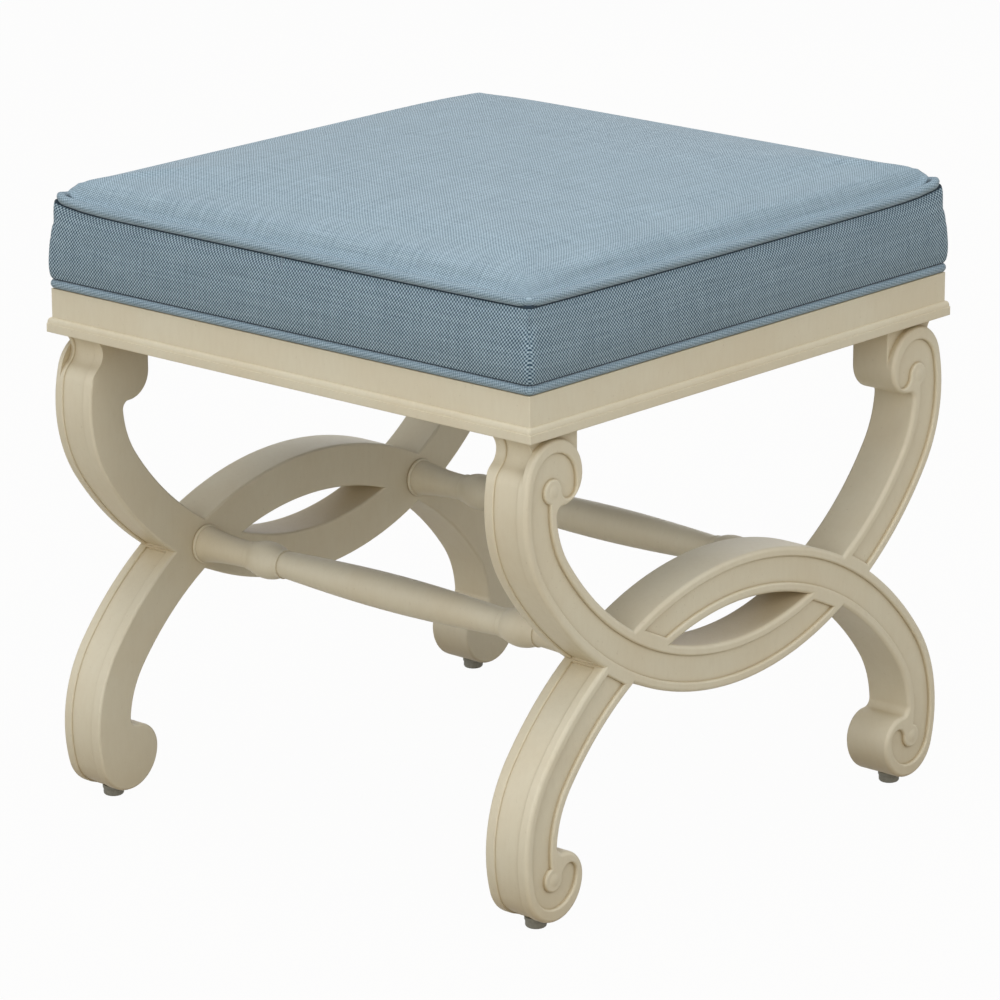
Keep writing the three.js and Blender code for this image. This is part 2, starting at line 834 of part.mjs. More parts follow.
function addCorners() {
  for (const [name, side, facing] of corners) {
    addPiece(`${name}_corner_block`, cornerBlock(side, facing), bare_wood);
    const bolt = addPiece(`${name}_leg_bolt`, turned(boltProfile(), screw_sides), steel);
    const bolt_place = boltPlace(side, facing);
    bolt.position.set(bolt_place.x, bolt_place.y, 0);
    const screw = addPiece(`${name}_seat_screw`, turned(screwProfile(), screw_sides), steel);
    const screw_place = screwPlace(side, facing);
    screw.position.set(screw_place.x, screw_place.y, 0);
  }
}

// Seat

// Points along one side of a rounded square, from the middle of one corner up to the middle of the next.
function planQuarter(side, inset, corner, height) {
  const along = halfAlong(side) - inset - corner;
  const out = halfOut(side) - inset - corner;
  const half_corner = corner_steps / 2;
  const points = [];
  for (let i = 0; i < half_corner; i++) {
    const turn = (Math.PI / 4) * (1 - i / half_corner);
    const round = [-along - corner * Math.sin(turn), out + corner * Math.cos(turn)];
    points.push(onSide(side, ...round, height));
  }
  for (let i = 0; i < side_steps; i++) {
    const share = (2 * i) / side_steps - 1;
    points.push(onSide(side, along * share, out + corner, height));
  }
  for (let i = 0; i < half_corner; i++) {
    const turn = ((Math.PI / 4) * i) / half_corner;
    const round = [along + corner * Math.sin(turn), out + corner * Math.cos(turn)];
    points.push(onSide(side, ...round, height));
  }
  return points;
}

function planRing(inset, corner, height) {
  return sides.flatMap((_, side) => planQuarter(side, inset, corner, height));
}

// Inset and corner of the boxing's outer face, by the share of its height.
function boxingShape(share) {
  const lean = boxing_foot_inset + (boxing_head_inset - boxing_foot_inset) * share;
  const swell = boxing_bulge * Math.sin(Math.PI * share ** bulge_lean_share);
  const corner = boxing_foot_corner + (boxing_head_corner - boxing_foot_corner) * share;
  return { inset: lean - swell, corner };
}

// One panel of the boxing, up its outer face and down its inner one.
function boxingPanel(side) {
  const level = (share, depth) => {
    const { inset, corner } = boxingShape(share);
    const height = boxing_foot + boxing_height * share;
    const points = planQuarter(side, inset + depth, corner - depth, height);
    const next = planQuarter((side + 1) % sides.length, inset + depth, corner - depth, height);
    const along = points[corner_steps].clone().sub(points[corner_steps - 1]).normalize();
    points.push(next[0].addScaledVector(along, -mitre_gap));
    points[0].addScaledVector(along, mitre_gap);
    return points;
  };
  const shares = shareSteps(boxing_steps);
  const outer = shares.map((share) => level(share, 0));
  const inner = shares.map((share) => level(share, cloth_thickness)).reverse();
  return joined([...outer, ...inner], false, true);
}

function welt(inset, corner, height, radius) {
  const rings = Array.from({ length: welt_sides }, (_, i) => {
    const angle = (Math.PI * (2 * i + 1)) / welt_sides - Math.PI / 2;
    const out = radius * Math.cos(angle);
    return planRing(inset - out, corner + out, height + radius * Math.sin(angle));
  });
  return joined(rings, true, true);
}

// A ring of the crowned top, a share of the way out from the middle, lowered by what lies above it.
function crownRing(share, lowered) {
  const half = new THREE.Vector2(halfAlong(0) - cover_inset, halfOut(0) - cover_inset);
  return planRing(cover_inset, cover_corner, 0).map((point) => {
    const [x, y] = [point.x * share, point.y * share];
    const cornered = Math.abs((x / half.x) * (y / half.y)) ** corner_drop_power;
    const puff = 1 - Math.exp((-half.x * (1 - share)) / puff_reach);
    const swell = puff_height * puff * (1 - corner_drop_share * cornered);
    const dome = crown_rise * (1 - share ** 2);
    return new THREE.Vector3(x, y, top_welt_z + swell + dome - lowered);
  });
}

function topCover() {
  const upper_face = crown_ring_shares.map((share) => crownRing(share, 0));
  const lower_face = crown_ring_shares.map((share) => crownRing(share, cloth_thickness));
  return joined([...lower_face.reverse(), ...upper_face], true, false);
}

function foamBlock() {
  const foot = board_top + clearance;
  const head = boxing_head - foam_shoulder;
  const depth = cloth_thickness + clearance;
  const walls = shareSteps(boxing_steps).map((share) => {
    const { inset, corner } = boxingShape(share);
    const height = boxing_foot + boxing_height * share;
    return planRing(inset + depth, corner - depth, Math.min(Math.max(height, foot), head));
  });
  const crown = crown_ring_shares.map((share) => crownRing(share, depth));
  return joined([...walls, ...crown], true, false);
}

// A rounded rectangle seen from above.
function boardOutline(inset, corner) {
  return planRing(inset, corner, 0).map((point) => new THREE.Vector2(point.x, point.y));
}

function seatBoard() {
  const board = new THREE.ExtrudeGeometry(new THREE.Shape(boardOutline(board_inset, board_corner)), {
    depth: board_thickness,
    bevelEnabled: false,
  });
  board.translate(0, 0, apron_top);
  return cutFrom(
    board,
    corners.map(([, side, facing]) => screwBore(side, facing)),
  );
}

function dustCover() {
  const x = stool_width / 2 - rail_thickness - dust_cover_margin;
  const y = stool_depth / 2 - rail_thickness - dust_cover_margin;
  const cover = new THREE.BoxGeometry(2 * x, 2 * y, dust_cover_thickness);
  cover.translate(0, 0, apron_top - clearance - dust_cover_thickness / 2);
  return cutFrom(
    cover,
    corners.map(([, side, facing]) => screwBore(side, facing)),
  );
}

function addSeat() {
  addPiece("seat_board", seatBoard(), bare_wood);
  addPiece("dust_cover", dustCover(), black_cloth);
  addPiece("seat_foam", foamBlock(), foam);
  sides.forEach((name, side) => {
    addPiece(`${name}_boxing`, boxingPanel(side), boxing_cloth);
  });
  const bottom_welt = welt(
    bottom_welt_inset,
    boxing_foot_corner,
    bottom_welt_z,
    bottom_welt_radius,
  );
  addPiece("bottom_welt", bottom_welt, boxing_cloth);
  const top_welt = welt(
    top_welt_inset,
    top_welt_corner,
    top_welt_z,
    top_welt_radius,
  );
  addPiece("top_welt", top_welt, blue_cloth);
  addPiece("top_cover", topCover(), blue_cloth);
}

addFrame("front", -1);
addFrame("rear", 1);
addStretchers();
addFeet();
addApron();
addCorners();
addSeat();

export default stool;
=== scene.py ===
"""A square vanity stool: painted, scrolled frames, a moulded apron and a welted cushion.

Everything is in metres, in the part's own frame: X left to right, Y front to back, Z up from the floor.
"""

import json
import math

import bmesh
import bpy
from bpy.props import FloatProperty, FloatVectorProperty, IntProperty, PointerProperty
from mathutils import Matrix, Vector


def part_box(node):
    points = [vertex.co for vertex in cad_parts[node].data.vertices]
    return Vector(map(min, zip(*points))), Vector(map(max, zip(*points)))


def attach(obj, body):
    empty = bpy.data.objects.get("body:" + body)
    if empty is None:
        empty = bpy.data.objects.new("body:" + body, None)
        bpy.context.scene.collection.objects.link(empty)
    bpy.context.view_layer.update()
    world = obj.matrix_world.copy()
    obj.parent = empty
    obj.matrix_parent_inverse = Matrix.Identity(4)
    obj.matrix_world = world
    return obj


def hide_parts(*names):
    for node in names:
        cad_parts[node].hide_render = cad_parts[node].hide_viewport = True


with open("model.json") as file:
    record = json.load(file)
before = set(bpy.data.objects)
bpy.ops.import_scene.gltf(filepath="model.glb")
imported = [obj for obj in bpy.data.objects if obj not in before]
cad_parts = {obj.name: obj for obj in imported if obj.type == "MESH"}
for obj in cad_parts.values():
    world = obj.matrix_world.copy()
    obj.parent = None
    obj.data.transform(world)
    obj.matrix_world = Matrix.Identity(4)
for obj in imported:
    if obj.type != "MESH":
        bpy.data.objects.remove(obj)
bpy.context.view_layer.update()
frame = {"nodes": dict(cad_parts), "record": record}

bl_info = {
    "name": "Vanity stool",
    "version": (1, 0, 0),
    "blender": (4, 5, 0),
    "location": "3D view > Sidebar > Stool",
    "description": "Models a vanity stool's painted frames and its welted cushion",
    "category": "Object",
}

SIDES = ("front", "right", "rear", "left")
CORNERS = ("front_left", "front_right", "rear_left", "rear_right")
WELD = 2e-6  # points closer than this are one
LEVEL = 1e-5  # points this close to a plane lie on it
SPLINTER = 3e-5  # edges shorter than this are splinters
SQUARE = 0.9  # a normal this much along an axis points along it
REACH = 0.004  # how far cutters reach past what they cut
CLEAR = 0.0004  # how far a cutter clears a face that it has to remove whole
SAG = 0.00003  # how far a drawn arc may lie inside the true one
SMOOTH_ANGLE = math.radians(32)  # edges flatter than this are shaded smooth
TURNED_SMOOTH_ANGLE = math.radians(28)
BOXING_SMOOTH_ANGLE = math.radians(50)

# Curved members, seen from the front
ARCH_HEIGHT = 0.236  # top of the lower members in the middle
BOWL_HEIGHT = 0.138  # underside of the upper members in the middle
LEG_OVERHANG = 0.0025  # how far the legs stand out past the apron
SIDE_RADIUS = 0.110
UPPER_WIDEST_DROP = 0.055
LOWER_WIDEST_HEIGHT = 0.060
SCROLL_RADIUS = 0.030
SCROLL_TIP_RADIUS = 0.021
SCROLL_FILLET = 0.006
SCROLL_DROP = 0.0036
FOOT_FLAT_CUT = 0.0006
VOLUTE_RIM = 0.0105
VOLUTE_RADIUS = 0.023
EYE_RADIUS = 0.0093
UPPER_EYE_DROP = 0.008
LOWER_EYE_DROP = 0.003
EYE_SHIFT = 0.0025
EYE_RISE = 0.0009  # how far the eye's dome stands above the face
EYE_GAP = 0.0004  # groove round the eye's dome
JOINT_GAP = 0.00005  # painted over, so that it hardly shows
RECESS_END = 0.0035  # from the recess of a butting arm to the member it meets
PANEL_MARGIN = 0.0018  # from the sunk panel to the crossing
PANEL_TURN = 1.05  # how far the panel follows the foot's scroll

# Insets that make one rounding
RIM_STEPS = 6
BACK_STEPS = 4
NECK_STEPS = 3
RECESS_STEPS = 4
STRIP_STEPS = 3

# Necks of the upper scrolls
NECK_SETBACK = 0.006
COVE_OFFSET = 0.0318
COVE_DROP = 0.013
COVE_RADIUS = 0.0132
COVE_SHOULDER = 0.020  # round shoulder that leads from the scroll into the cove

# Stretchers: radius and distance from the middle, before the flared ends
BELLY_RADIUS = 0.0142
WAIST_RADIUS = 0.0104
BEAD_RADIUS = 0.0146
BEAD_START = 0.116
BEAD_END = 0.144
BEAD_FILLET_RADIUS = 0.0114
BEAD_FILLET = 0.004
TRUMPET_RADIUS = 0.0142
FLANGE_RADIUS = 0.0156
FLANGE = 0.003
TURNING_SLOPE = 0.0002  # length of the steep faces beside the bead
TRUMPET_SLOPE = 0.0004
FLANGE_SLOPE = 0.0006
BEAD_POWER = 0.75  # below 1, the bead is fuller than a half wave
TRUMPET_POWER = 2.2  # how late the ends flare
PROFILE_STEPS = 14  # straight pieces of each curve
FLANGE_STEPS = 8

# Glides, and the edges of the apron
GLIDE_ROUNDING = 0.0022
GLIDE_LIP = 0.0006
GLIDE_LIP_SHARES = (0.62, 0.66, 0.72)  # heights at which the lip begins, bends and ends
GLIDE_TOP_BEVEL = (0.0003, 0.0002)  # width, height
GLIDE_STEPS = 6
RAIL_TOP_ROUNDING = 0.0008
MITRE_WORN = 0.00025  # how much of each mitred corner is worn off

# Cushion
BOXING_FOOT = 0.4144
BOXING_HEAD = 0.4684
TUCK = 0.0030  # how far the cushion reaches down behind the bottom welt
FOOT_TUCK = TUCK * 0.9  # the boxing, which is open below, ends a little higher
HEAD_TUCK = 0.0016  # how far the boxing reaches up behind the top welt
BOXING_TURNING = 0.02  # how far in from the cover's edge the panels are cut off
FOOT_HALF = 0.2402
HEAD_HALF = 0.2397
BOTTOM_WELT_RADIUS = 0.0034
TOP_WELT_RADIUS = 0.0036
BOTTOM_WELT_Z = 0.4107
TOP_WELT_Z = 0.4723
BOTTOM_WELT_HALF = 0.2386
TOP_WELT_HALF = 0.2362
BOTTOM_WELT_CORNER = 0.0030
TOP_WELT_CORNER = 0.0105
WELT_ROUND = 20  # points round a cord
WELT_STEPS = 24  # pieces of a straight side
WELT_CORNER_STEPS = 7
COVER_HALF = 0.2317
CUSHION_CORNER = 0.0035
SEAM_SHADE_LINE = 0.0009  # width of the painted shade line where the boxing is sewn to the welts
# The boxing's bulge: share of the height, and how far it reaches out there.
BULGE = ((0.10, 0.0026), (0.25, 0.0029), (0.5, 0.0014), (0.75, 0.0), (0.92, -0.0006))
SIDE_SWELL = 0.0012  # most that the boxing may swell
CORNER_REACH = 0.0016  # how far the corners are filled out
CORNER_WIDTH = 0.006  # how far from the corner's edge the filling fades
SEAM_TUCK = 0.0006  # how deep the vertical seams lie
SEAM_TUCK_WIDTH = 0.0012
SEAM_SHADE = 0.2  # how dark the painted shade in the vertical seams is
SEAM_SHADE_WIDTH = 0.0007
CLOTH_THICKNESS = 0.002
# Left, right, near and far mean the cushion's corners as the camera sees them.
EAR_RISE = 0.0058  # how far the left and right corners stand up
EAR_REACH = 0.022  # how far from the corner that fades
EAR_SHARE = 0.15  # how much of that the near and far corners stand up
VOXEL = 0.005  # mesh size of the stuffed cushion
HELD_BAND = 0.003  # width of the bands that the seams hold
CROWN_SLACK = 0.0012  # how much lower the crown is before it is stuffed
CROWN_SLACK_REACH = 0.01  # how far in that is full
CROWN_INSETS = (0.0015, 0.003, 0.005, 0.008, 0.012, 0.018, 0.03, 0.055, 0.09, 0.13, 0.17, 0.2)
PUFF_HEIGHT = 0.0203  # how high the cover rises beside the welt
PUFF_REACH = 0.004  # how far in it takes to do so
CROWN_RISE = 0.0095  # how much higher the middle is
CORNER_DROP = 0.0075  # how much lower the crown is at its corners
CORNER_DROP_POWER = 6
CORNER_DROP_SPARED = 0.55  # share of that which the left and right corners are spared
CORNER_FILL = 0.0044  # how far the stuffing pushes the cover up inside the welt's corners
CORNER_FILL_REACH = 0.0045  # how far in that lies, and how wide it is
CORNER_FILL_FOOT = 0.002  # how far in from the cover's edge it begins fully
COVER_TUCK = 0.002  # how far the cover reaches down behind the top welt
COVER_SEAM_SHADE = 0.001  # width of the painted shade line where the cover is sewn to the welt

# Cloth
CLOTH_SETTINGS = {
    "quality": 5,
    "mass": 0.3,
    "tension_stiffness": 15,
    "compression_stiffness": 15,
    "bending_stiffness": 0.6,
    "use_pressure": True,
    "uniform_pressure_force": 4,
    "vertex_group_mass": "seams",
}
YARN_DRIFT = 0.0016  # how far the yarns stray
BEAD_RATIO = 1.2  # distance between two beads along a ridge, in pitches


def length(name, description, default):
    return FloatProperty(name=name, description=description, default=default, unit="LENGTH")


def colour(name, description, default):
    return FloatVectorProperty(name=name, description=description, default=default, subtype="COLOR")


class StoolSizes(bpy.types.PropertyGroup):
    """Sizes of the stool's pieces that can be changed."""

    arm_width: length("Arm width", "Width of the curved members, seen from the front", 0.035)
    rim_width: length("Rim width", "Width of the raised rims along the members", 0.0075)
    recess_depth: length("Recess depth", "Depth of the channel between the rims", 0.0030)
    rim_rounding: length("Rim rounding", "Rounding of the members' front edges", 0.0032)
    recess_rounding: length("Recess rounding", "Rounding of the rims' edges beside the channel", 0.0018)
    neck_rounding: length("Neck rounding", "Rounding of the front edges of the scrolls' necks", 0.0012)
    back_rounding: length("Back rounding", "Rounding of the members' back edges", 0.0022)
    strip_width: length("Strip width", "Width of the raised strips on the outer side", 0.008)
    strip_rounding: length("Strip rounding", "Rounding of the strips' edges beside the sunk panel", 0.0011)
    panel_depth: length("Panel depth", "Depth of the sunk panel between the strips", 0.0014)
    cushion_swell: length("Cushion swell", "Most that the padding may swell", 0.0025)
    weave_pitch: length("Weave pitch", "Distance between two ridges of the weave", 0.0019)


class StoolFinish(bpy.types.PropertyGroup):
    """Colours and surface of the stool."""

    paint: colour("Paint", "Cream paint", (0.77, 0.716, 0.562))
    paint_worn: colour("Worn paint", "Paint where it is worn and yellowed", (0.71, 0.615, 0.44))
    # Painted shade: a darker, browner paint colour that stands in for the shade under the seat and between
    # the pieces.
    painted_shade: colour(
        "Painted shade", "Painted shade deep under the seat and between the pieces", (0.43, 0.325, 0.165)
    )
    glaze: colour("Glaze", "Darker glaze that stays in the grooves", (0.36, 0.28, 0.16))
    cloth_light: colour("Light yarn", "Light yarn of the cloth", (0.53, 0.69, 0.80))
    cloth_dark: colour("Dark yarn", "Dark yarn of the cloth", (0.022, 0.066, 0.112))
    sim_frames: IntProperty(
        name="Padding frames",
        description="Frames over which the padding swells",
        default=20,
    )


# Drawing outlines


def polar(centre, radius, angle):
    return Vector((centre[0] + radius * math.cos(angle), centre[1] + radius * math.sin(angle)))


def direction(start, end):
    return math.atan2(end[1] - start[1], end[0] - start[0])


def meeting(first, first_radius, second, second_radius):
    """Where two circles meet, to the right of the line between their centres."""
    apart = (Vector(second) - Vector(first)).length
    along = (apart**2 + first_radius**2 - second_radius**2) / (2 * apart)
    across = math.sqrt(first_radius**2 - along**2)
    return polar(first, first_radius, direction(first, second) - math.atan2(across, along))


def only(piece):
    bpy.ops.object.select_all(action="DESELECT")
    piece.select_set(True)
    bpy.context.view_layer.objects.active = piece


def edit_points(piece):
    """Opens a piece in edit mode, with all of its points selected."""
    only(piece)
    bpy.ops.object.mode_set(mode="EDIT")
    bpy.ops.mesh.select_mode(type="VERT")
    bpy.ops.mesh.select_all(action="SELECT")


def begin(name, place):
    """Starts a mesh with one point, in edit mode."""
    bpy.ops.mesh.primitive_plane_add(size=REACH, location=place)
    piece = bpy.context.object
    piece.name = name
    piece.data.name = name
    bpy.ops.object.transform_apply()
    edit_points(piece)
    bpy.ops.mesh.merge(type="CENTER")
    return piece


def extrude(offset):
    bpy.ops.mesh.extrude_region_move(TRANSFORM_OT_translate={"value": tuple(offset)})


def draw_arcs(name, arcs, level):
    """Draws arcs (centre, radius, from, to) that run into each other, in the plane y = level."""
    at = polar(*arcs[0][:3])
    piece = begin(name, (at[0], level, at[1]))
    for centre, radius, start, end in arcs:
        first = polar(centre, radius, start)
        if (first - at).length > WELD:
            extrude((first[0] - at[0], 0, first[1] - at[1]))
        turn = end - start
        steps = max(2, math.ceil(abs(turn) / (2 * math.acos(1 - SAG / radius))))
        middle = (centre[0], level, centre[1])
        bpy.ops.mesh.spin(steps=steps, angle=turn, center=middle, axis=(0, 1, 0))
        at = polar(centre, radius, end)
    return piece


def draw_line(name, points):
    """Draws straight lines through points in space."""
    piece = begin(name, points[0])
    for start, end in zip(points, points[1:]):
        extrude(Vector(end) - Vector(start))
    return piece


def fill():
    """Closes the drawn outline and fills it."""
    bpy.ops.mesh.select_all(action="SELECT")
    bpy.ops.mesh.remove_doubles(threshold=WELD)
    bpy.ops.mesh.edge_face_add()


def face_outwards():
    bpy.ops.mesh.select_all(action="SELECT")
    bpy.ops.mesh.remove_doubles(threshold=WELD)
    bpy.ops.mesh.normals_make_consistent(inside=False)


def leave():
    bpy.ops.object.mode_set(mode="OBJECT")


def slab(name, arcs, near, far):
    """A solid of an outline between two distances in front of the stool's middle."""
    piece = draw_arcs(name, arcs, -far)
    fill()
    extrude((0, far - near, 0))
    face_outwards()
    leave()
    return piece


def apply(piece, modifier):
    only(piece)
    bpy.ops.object.modifier_apply(modifier=modifier.name)


def add_modifier(piece, kind, **settings):
    """Adds a modifier and applies it."""
    modifier = piece.modifiers.new(kind.title(), kind)
    for key, value in settings.items():
        setattr(modifier, key, value)
    apply(piece, modifier)


def slice_off(point, normal, fill_cut):
    """Cuts off what lies in front of a plane, in edit mode."""
    bpy.ops.mesh.select_all(action="SELECT")
    bpy.ops.mesh.bisect(
        plane_co=point, plane_no=normal, use_fill=fill_cut, clear_outer=True, threshold=WELD
    )


def keep_part(piece, planes, fill_cut):
    """Keeps what lies behind the planes (point, normal)."""
    only(piece)
    bpy.ops.object.mode_set(mode="EDIT")
    for point, normal in planes:
        slice_off(point, normal, fill_cut)
    bpy.ops.mesh.select_all(action="DESELECT")
    leave()


def combine(piece, tool, operation):
    """Cuts the tool from the piece, joins it to it, or keeps what both share."""
    add_modifier(piece, "BOOLEAN", operation=operation, solver="MANIFOLD", object=tool)
    bpy.data.objects.remove(tool)


def cut(piece, tool):
    combine(piece, tool, "DIFFERENCE")


def join(piece, tool):
    combine(piece, tool, "UNION")


def bevel(piece, chosen, width, segments):
    """Rounds the edges that a test chooses."""
    only(piece)
    bpy.ops.object.mode_set(mode="EDIT")
    bpy.ops.mesh.select_mode(type="EDGE")
    bpy.ops.mesh.select_all(action="DESELECT")
    mesh = bmesh.from_edit_mesh(piece.data)
    for edge in mesh.edges:
        if len(edge.link_faces) == 2 and chosen(edge):
            edge.select = True
    mesh.select_flush_mode()
    bmesh.update_edit_mesh(piece.data)
    bpy.ops.mesh.bevel(offset=width, segments=segments, affect="EDGES", clamp_overlap=False)
    leave()


def smooth(piece, angle=SMOOTH_ANGLE):
    """Smooth shading whose flat faces stay flat."""
    only(piece)
    bpy.ops.object.shade_smooth_by_angle(angle=angle)
    add_modifier(piece, "WEIGHTED_NORMAL", keep_sharp=True)


def clean(piece):
    """Joins the splinters that cutting leaves."""
    edit_points(piece)
    bpy.ops.mesh.remove_doubles(threshold=SPLINTER)
    bpy.ops.mesh.dissolve_degenerate(threshold=SPLINTER)
    leave()


def settle(piece, matrix):
    """Moves a piece's mesh, with its object left at the origin."""
    piece.data.transform(matrix)
    piece.data.update()
    if matrix.determinant() < 0:
        piece.data.flip_normals()


def copy_of(piece, name, matrix):
    copied = bpy.data.objects.new(name, piece.data.copy())
    copied.data.name = name
    bpy.context.scene.collection.objects.link(copied)
    settle(copied, matrix)
    return copied


def finish_piece(piece, slot, *nodes, looks=None):
    """Gives a piece its looks, by its slot unless others are named, and its place in the frame."""
    piece.data.materials.clear()
    piece.data.materials.append(material(looks or slot))
    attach(piece, "root")
    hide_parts(*nodes)


# Materials


class Nodes:
    """Builds the node tree of a material or a world."""

    def __init__(self, owner, output="ShaderNodeOutputMaterial"):
        self.owner = owner
        owner.use_nodes = True
        self.tree = owner.node_tree
        self.tree.nodes.clear()
        self.output = self.tree.nodes.new(output)

    def add(self, kind, inputs=(), **settings):
        node = self.tree.nodes.new(kind)
        for key, value in settings.items():
            setattr(node, key, value)
        for key, value in dict(inputs).items():
            self.put(value, node.inputs[key])
        return node

    def put(self, value, socket):
        if isinstance(value, bpy.types.NodeSocket):
            self.tree.links.new(value, socket)
        elif hasattr(value, "outputs"):
            self.tree.links.new(value.outputs[0], socket)
        else:
            socket.default_value = value

    def math(self, operation, first, second=0.0, clamp=False):
        return self.add(
            "ShaderNodeMath", {0: first, 1: second}, operation=operation, use_clamp=clamp
        ).outputs[0]

    def times(self, first, second):
        return self.math("MULTIPLY", first, second)

    def plus(self, first, second):
        return self.math("ADD", first, second)

    def vector(self, operation, first, second):
        return self.add("ShaderNodeVectorMath", {0: first, 1: second}, operation=operation).outputs[0]

    def mix(self, factor, first, second):
        node = self.add("ShaderNodeMix", data_type="RGBA")
        self.put(factor, node.inputs[0])
        self.put(first, node.inputs[6])
        self.put(second, node.inputs[7])
        return node.outputs[2]

    def ramp(self, value, low, high):
        return self.add("ShaderNodeMapRange", {0: value, 1: low, 2: high}).outputs[0]

    def fall(self, value, low, high):
        """1 up to low, 0 from high on."""
        return self.math("SUBTRACT", 1.0, self.ramp(value, low, high), clamp=True)

    def hollow(self, distance, samples, low, high, own=False):
        """1 where other faces lie near, within a distance, and 0 in the open."""
        open_share = self.add(
            "ShaderNodeAmbientOcclusion", {"Distance": distance}, samples=samples, only_local=own
        ).outputs["AO"]
        return self.fall(open_share, low, high)

    def tint(self, colour, other, where, amount, share=1.0):
        """Mixes in another colour where the mask says, by an amount."""
        return self.mix(self.times(where, amount), colour, rgba(other, share))

    def noise(self, vector, scale, detail, roughness):
        inputs = {"Vector": vector, "Scale": scale, "Detail": detail, "Roughness": roughness}
        return self.add("ShaderNodeTexNoise", inputs).outputs["Fac"]

    def stretched(self, vector, scale):
        return self.add("ShaderNodeMapping", {"Vector": vector, "Scale": scale}).outputs[0]

    def place(self):
        return self.add("ShaderNodeTexCoord").outputs["Object"]

    def shader(self, colour, roughness, height=None, distance=0.0005, strength=1.0, **values):
        shader = self.add("ShaderNodeBsdfPrincipled", {"Base Color": colour, "Roughness": roughness})
        for key, value in values.items():
            shader.inputs[key.replace("_", " ")].default_value = value
        if height is not None:
            inputs = {"Height": height, "Strength": strength, "Distance": distance}
            self.put(self.add("ShaderNodeBump", inputs), shader.inputs["Normal"])
        self.put(shader, self.output.inputs["Surface"])
        return self.owner

    def show_white(self, lit, kind, share=1.0):
        """Looks white to the camera, in reflections and through glass, and lights the stool as lit."""
        white = self.add(kind, {"Color": (1.0, 1.0, 1.0, 1.0), "Strength": 1.0})
        path = self.add("ShaderNodeLightPath")
        seen = self.math("MAXIMUM", path.outputs["Is Camera Ray"], path.outputs["Is Glossy Ray"])
        seen = self.math("MAXIMUM", seen, path.outputs["Is Transmission Ray"])
        pale = self.times(seen, share)
        mixed = self.add("ShaderNodeMixShader", {0: pale, 1: lit, 2: white})
        self.put(mixed, self.output.inputs["Surface"])


def rgba(colour, share=1.0):
    return (colour[0] * share, colour[1] * share, colour[2] * share, 1.0)


def painted_wood():
    """Antique cream paint: brushed, a little yellowed, with glaze in the grooves, and painted shade that
    darkens it under the seat and deep between the pieces.
    """
    finish = bpy.context.scene.stool_finish
    made = Nodes(bpy.data.materials.new("painted_wood_finish"))
    place = made.place()
    clouds = made.ramp(made.noise(place, 11.0, 4.0, 0.6), 0.38, 0.66)
    brushed = made.noise(made.stretched(place, (90.0, 90.0, 26.0)), 3.0, 3.0, 0.6)
    grain = made.noise(place, 900.0, 2.0, 0.6)
    grooves = made.math("POWER", made.hollow(0.0045, 8, 0.35, 0.92, own=True), 1.4)
    specks = made.ramp(made.noise(place, 420.0, 1.0, 0.4), 0.73, 0.80)
    colour = made.tint(rgba(finish.paint), finish.paint_worn, clouds, 0.45)
    colour = made.tint(colour, finish.paint_worn, made.ramp(brushed, 0.42, 0.70), 0.10, 0.86)
    colour = made.tint(colour, finish.glaze, grooves, 0.62)
    # Painted shade: wide ambient occlusion darkens the paint towards the painted shade colour under the
    # seat and deep between the pieces, where shade falls.
    colour = made.tint(colour, finish.painted_shade, made.hollow(0.09, 4, 0.25, 0.85), 0.6)
    colour = made.tint(colour, finish.glaze, specks, 0.18)
    rough = made.plus(0.46, made.times(brushed, 0.16))
    height = made.plus(made.times(brushed, 0.7), made.times(grain, 0.3))
    return made.shader(colour, rough, height, distance=0.00022, strength=0.55)


def bare_wood():
    made = Nodes(bpy.data.materials.new("bare_wood_finish"))
    place = made.place()
    along = made.stretched(place, (1.0, 0.12, 1.0))
    rings = made.add(
        "ShaderNodeTexWave", {"Vector": along, "Scale": 55.0, "Distortion": 5.0, "Detail": 3.0}
    ).outputs["Fac"]
    pores = made.noise(made.stretched(place, (700.0, 30.0, 700.0)), 1.0, 2.0, 0.6)
    colour = made.mix(rings, rgba((0.62, 0.45, 0.27)), rgba((0.47, 0.31, 0.17)))
    colour = made.tint(colour, (0.28, 0.18, 0.1), made.ramp(pores, 0.5, 0.7), 0.35)
    return made.shader(colour, 0.75, pores, distance=0.0003, strength=0.6)


